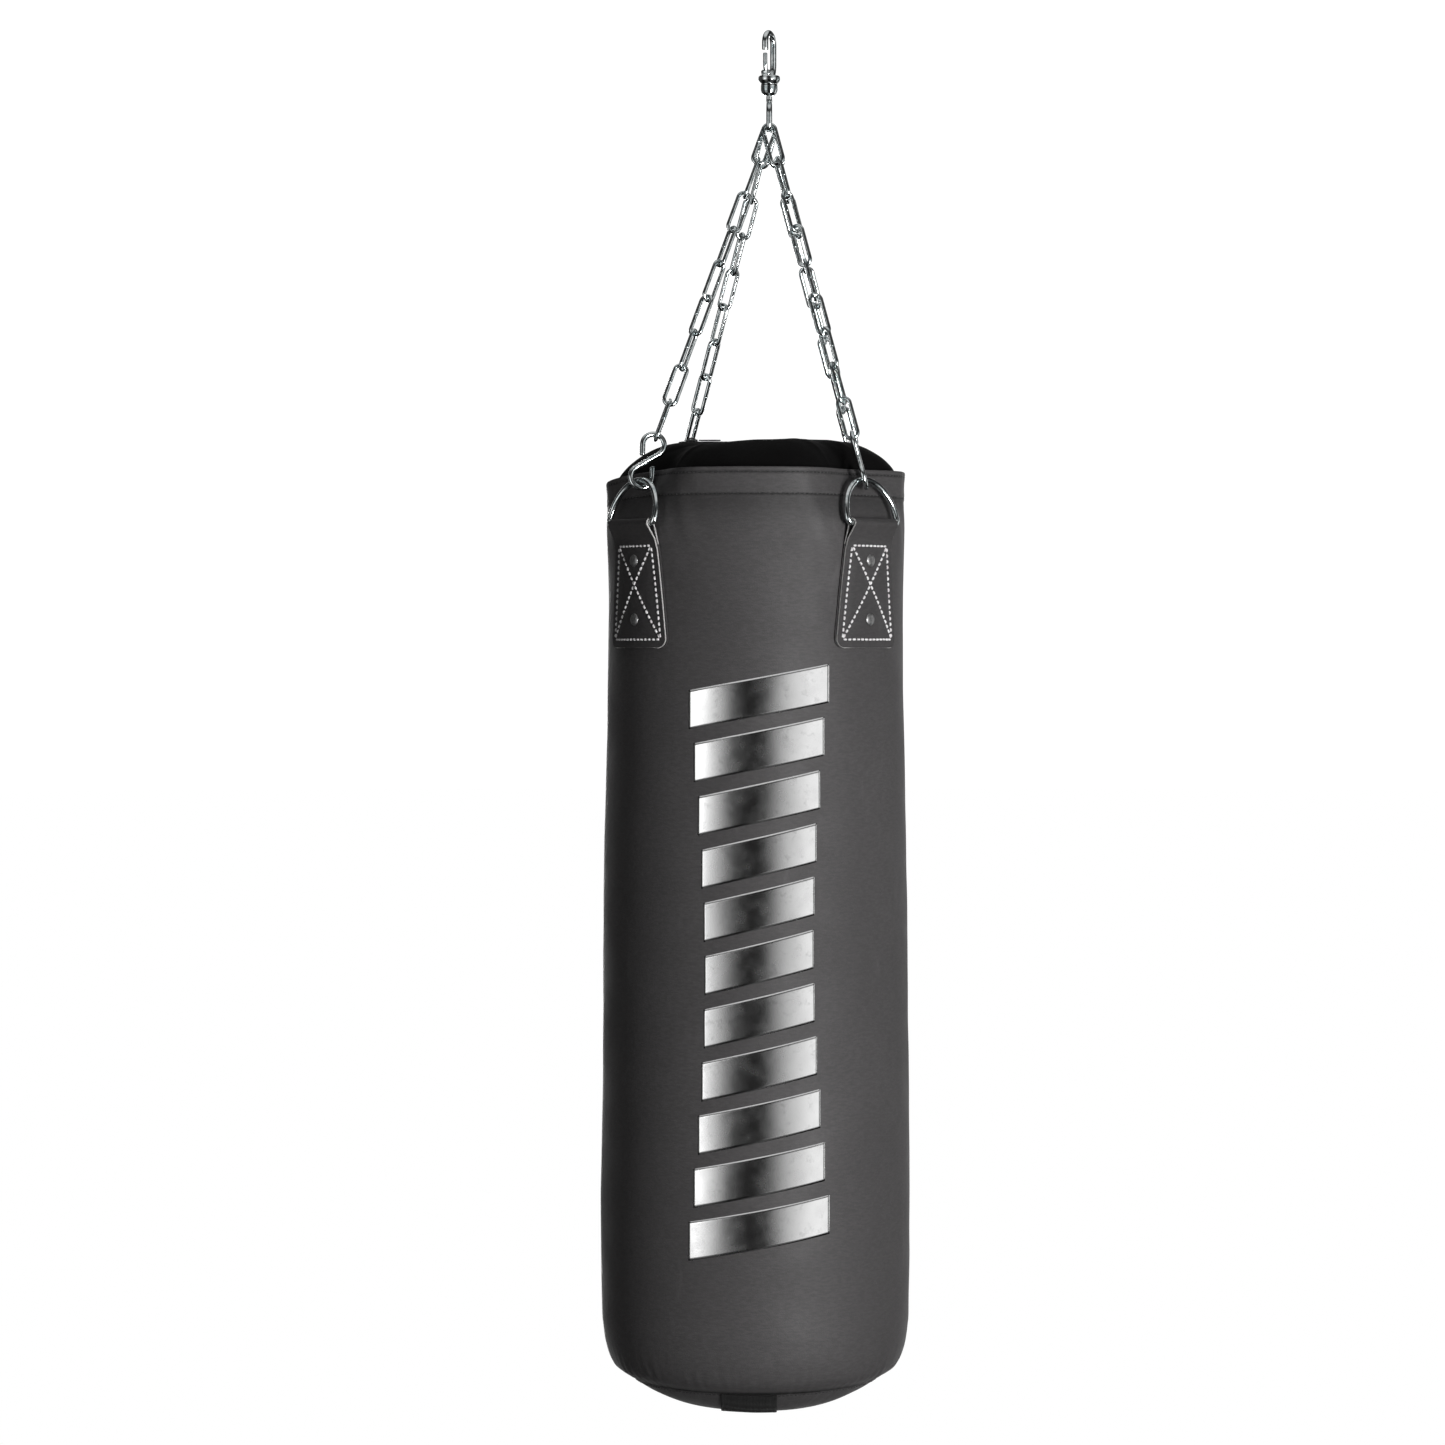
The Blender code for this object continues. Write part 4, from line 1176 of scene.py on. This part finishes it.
def zip_puller(metal_finish):
    base = LID_FLAT_Z + ZIP_RISE + ZIP_THICKNESS
    length, width, height = SLIDER_SIZE
    centre = Vector((SLIDER_X, ZIP_Y, base + GAP + height / 2))
    half = [(length / 2, width * 0.3), (length * 0.3, width / 2), (-length * 0.18, width / 2),
            (-length / 2, width * 0.34)]
    body = plate("slider_body", filleted(mirrored(half), 0.0016, 5, True), height * 0.55, 0.0006, metal_finish,
                 Matrix.Translation(centre - UP * height * 0.2))
    arch = [(-length * 0.3, -height * 0.1), (-length * 0.22, height * 0.3), (0.0, height * 0.4),
            (length * 0.22, height * 0.3), (length * 0.3, -height * 0.1)]
    lying = facing(Vector((1, 0, 0)), UP, centre)
    bridge = bar("slider_bridge", smooth_curve(arch, 6), 0.0009, metal_finish, 14, matrix=lying, squeeze=1.6)
    slider = fused("slider_cast", [body, bridge], metal_finish, 0.00018, 3)
    settled_on(slider, "zip_slider", "zip_metal", "zip_slider")

    length, width, height = PULL_SIZE
    middle = Vector((SLIDER_X + SLIDER_SIZE[0] / 2 + PULL_HINGE_GAP + length / 2, ZIP_Y, base + PULL_RISE))
    half = [(length / 2, width * 0.34), (length * 0.3, width / 2), (-length / 2, width * 0.3)]
    pull = plate("pull_tab", filleted(mirrored(half), 0.0022, 6, True), height, 0.0004, metal_finish,
                 Matrix.Translation(middle))
    for along_pull, radius in ((-length * 0.34, 0.0014), (length * 0.2, 0.0021)):
        place = Matrix.Translation(middle + Vector((along_pull, 0, 0)))
        hole = [(0, 0.004), (radius, 0.004), (radius, -0.004), (0, -0.004)]
        cut_by(pull, turned("hole", hole, metal_finish, 32, place))
    settled_on(recoat(pull, metal_finish, 40), "zip_pull", "zip_metal", "zip_pull")


def plate(name, outline, thickness, edge, finish, matrix):
    """A flat outline as a plate with rounded edges, centred on its own middle."""
    bm = bmesh.new()
    face = bm.faces.new([bm.verts.new((x, y, -thickness / 2)) for x, y in outline])
    made = bmesh.ops.extrude_face_region(bm, geom=[face])["geom"]
    top = [v for v in made if isinstance(v, bmesh.types.BMVert)]
    bmesh.ops.translate(bm, vec=(0, 0, thickness), verts=top)
    bmesh.ops.recalc_face_normals(bm, faces=bm.faces)
    rims = [e for e in bm.edges if abs(e.verts[0].co.z - e.verts[1].co.z) < 1e-7]
    bmesh.ops.bevel(bm, geom=rims, offset=edge, segments=3, profile=0.6, affect="EDGES")
    return bmesh_piece(name, bm, finish, matrix)


# --- the printed graphic ---
def graphic(finish):
    """A column of plain slanted bars, printed in foil on the front."""
    height = (GRAPHIC_TOP_Z - GRAPHIC_BOTTOM_Z - GRAPHIC_GAP * (GRAPHIC_BARS - 1)) / GRAPHIC_BARS
    verts, faces = [], []
    rows, cols = 14, 60
    for k in range(GRAPHIC_BARS):
        faces += list(grid_faces(rows, cols, start=len(verts)))
        top = GRAPHIC_TOP_Z - k * (height + GRAPHIC_GAP)
        half = GRAPHIC_HALF_WIDTH - GRAPHIC_WAIST * sin(pi * (k + 0.5) / GRAPHIC_BARS)
        for s in np.linspace(0.0, 1.0, rows):
            for t in np.linspace(-1.0, 1.0, cols):
                z = top - s * height + GRAPHIC_SLANT * (t * 0.5)
                angle = (GRAPHIC_X + t * half) / cover_radius(z) * 180.0 / pi
                reach = cover_radius(z) + cover_relief(angle, z) + 0.00014
                verts.append(round_bag(angle, reach, z))
    ob = mesh_piece("printed_bars", verts, faces, finish)
    modified(ob, "SOLIDIFY", thickness=0.00008, offset=0.0)
    return settled_on(ob, "bag", "black_leatherette")


# --- studio ---
FOCAL = 4018 / 1445 * 36
CAMERA_Y = -4.7
CAMERA_Z = -0.7175
SHIFT_X = -33 / 1445
SHIFT_Y = -72.5 / 1445
FLOOR_Z = CAD_BOX[0].z - 0.3
# what the metal mirrors: brightness by degrees from the front, and by how far up or down the ray goes
STUDIO = [
    (-180, 1.0), (-158, 0.9), (-140, 0.06), (-72, 0.04), (-62, 0.55), (-50, 0.85), (-33, 0.6), (-20, 0.05),
    (-5, 0.004), (9, 0.01), (23, 0.42), (44, 0.85), (64, 0.8), (74, 0.06), (140, 0.05), (158, 0.9), (180, 1.0),
]
HEIGHTS = [(-1.0, 0.1), (-0.62, 0.12), (-0.36, 1.0), (0.26, 1.0), (0.42, 0.12), (1.0, 0.12)]


def camera():
    data = bpy.data.cameras.new("camera")
    data.lens = FOCAL
    data.sensor_width = 36.0
    data.shift_x, data.shift_y = SHIFT_X, SHIFT_Y
    data.clip_end = 100.0
    cam = placed("camera", data)
    cam.location = (BAG_X, CAMERA_Y, CAMERA_Z)
    cam.rotation_euler = (pi / 2, 0.0, 0.0)
    bpy.context.scene.camera = cam


def soft_light(name, place, size, power):
    """A soft box aimed at the middle of the bag."""
    data = bpy.data.lights.new(name, "AREA")
    data.shape = "RECTANGLE"
    data.size, data.size_y = size
    data.energy = power
    lamp = placed(name, data)
    lamp.location = place
    aim = Vector((BAG_X, 0.0, -0.9)) - Vector(place)
    lamp.rotation_euler = aim.to_track_quat("-Z", "Y").to_euler()
    return lamp


def surroundings():
    """A white backdrop to the eye; what the metal mirrors is a studio with dark gaps between its lights."""
    world = bpy.data.worlds.new("studio")
    bpy.context.scene.world = world
    world.use_nodes = True
    world.node_tree.nodes.clear()
    sky = Nodes(world.node_tree)

    def glow(strength, colour=WHITE):
        return sky.add("Background", {"Color": colour, "Strength": strength}).outputs[0]

    x, y, z = sky.add("SeparateXYZ", {0: sky.add("TexCoord", {}).outputs["Generated"]}).outputs
    heading = sky.math("ARCTAN2", x, sky.math("MULTIPLY", y, -1.0))
    around = sky.bands(heading, [(radians(degrees), brightness) for degrees, brightness in STUDIO])
    lit = sky.mix(1.0, around, sky.bands(z, HEIGHTS), "MULTIPLY")
    mirrored_light = glow(1.25, sky.mix(sky.ramp(z, 0.62, 0.88), lit, grey(0.55)))
    rays = sky.add("LightPath", {}).outputs
    unseen = sky.either(rays["Is Diffuse Ray"], mirrored_light, glow(0.1))
    sky.add("OutputWorld", {"Surface": sky.either(rays["Is Camera Ray"], unseen, glow(1.05))})


def floor():
    """Pale and evenly lit to the eye, dull to diffuse light, and left out of what the metal mirrors."""
    fin = Finish("pale_floor", (0.3, 0.3, 0.3), 0.9)
    fin.look(Base_Color=fin.mix(fin.noise(1.5), grey(0.28), grey(0.32)))
    rays = fin.add("LightPath", {}).outputs
    seen = fin.either(rays["Is Glossy Ray"], fin.shader.outputs[0], fin.add("BsdfTransparent", {}).outputs[0])
    glow = fin.add("Emission", {"Color": WHITE, "Strength": 1.0}).outputs[0]
    seen = fin.either(rays["Is Camera Ray"], seen, glow)
    fin.set(fin.tree.nodes["Material Output"], {"Surface": seen})
    bm = bmesh.new()
    bmesh.ops.create_circle(bm, cap_ends=True, segments=64, radius=30.0)
    bmesh_piece("studio_floor", bm, fin.material, Matrix.Translation((0.0, 0.0, FLOOR_Z)))


def lights(foil_print):
    """The key skips the foil, which would mirror it as a hard white block."""
    key = soft_light("key", (2.05, -3.3, -1.52), (0.6, 2.6), 228.0)
    soft_light("fill", (-2.6, -2.6, -0.8), (0.9, 2.2), 5.0)
    soft_light("back", (-0.4, 4.2, -1.1), (1.4, 2.4), 105.0)
    soft_light("rim", (2.6, 0.9, -0.8), (0.8, 2.2), 6.0)
    unlit = bpy.data.collections.new("unlit_by_key")
    unlit.objects.link(foil_print)
    key.light_linking.receiver_collection = unlit
    unlit.collection_objects[0].light_linking.link_state = "EXCLUDE"


def build():
    steel = metal("plated_steel", (0.78, 0.8, 0.81), 0.17, ((0.72, 0.75, 0.75, 1.0), (0.34, 0.39, 0.4, 1.0)),
                  (140.0, 300.0, 500.0), (0.09, 0.18), 0.3)
    rivets = metal("rivet_steel", (0.3, 0.31, 0.31), 0.42, (grey(0.24), grey(0.4)),
                   (420.0, 700.0, 1400.0), (0.34, 0.5), 0.5)
    dark_nickel = metal("zip_metal", (0.1, 0.1, 0.1), 0.6, (grey(0.08), grey(0.16)),
                        (260.0, 420.0, 1200.0), (0.5, 0.68), 0.4)
    leather = leatherette("black_leatherette", 0.056, 0.58, 0.35)
    strap_leather = leatherette("strap_leatherette", 0.044, 0.55, 0.25)
    white, black, edge = thread("white_thread", 0.9), thread("black_thread", 0.004), cut_edge()
    snap_hook(steel)
    swivel(steel)
    chains(steel)
    for name, angle in zip(CHAINS, CHAIN_ANGLES):
        strap(name, angle, strap_leather, edge, white, rivets)
    outer_cover(leather, black)
    # the lid: a darker fabric than the cover, darkened further with painted shade of the recess behind the rim
    top_lid(leatherette("shaded_lid_leatherette", 0.0035, 0.75, 0.0, 0.05))
    bottom_panel(leather, black)
    bottom_strap(webbing())
    filling(scraps())
    zip_closure(zip_cloth(), dark_nickel, black)
    zip_puller(dark_nickel)
    lights(graphic(foil()))
    camera()
    surroundings()
    floor()
    bpy.context.scene.view_settings.view_transform = "Standard"


build()
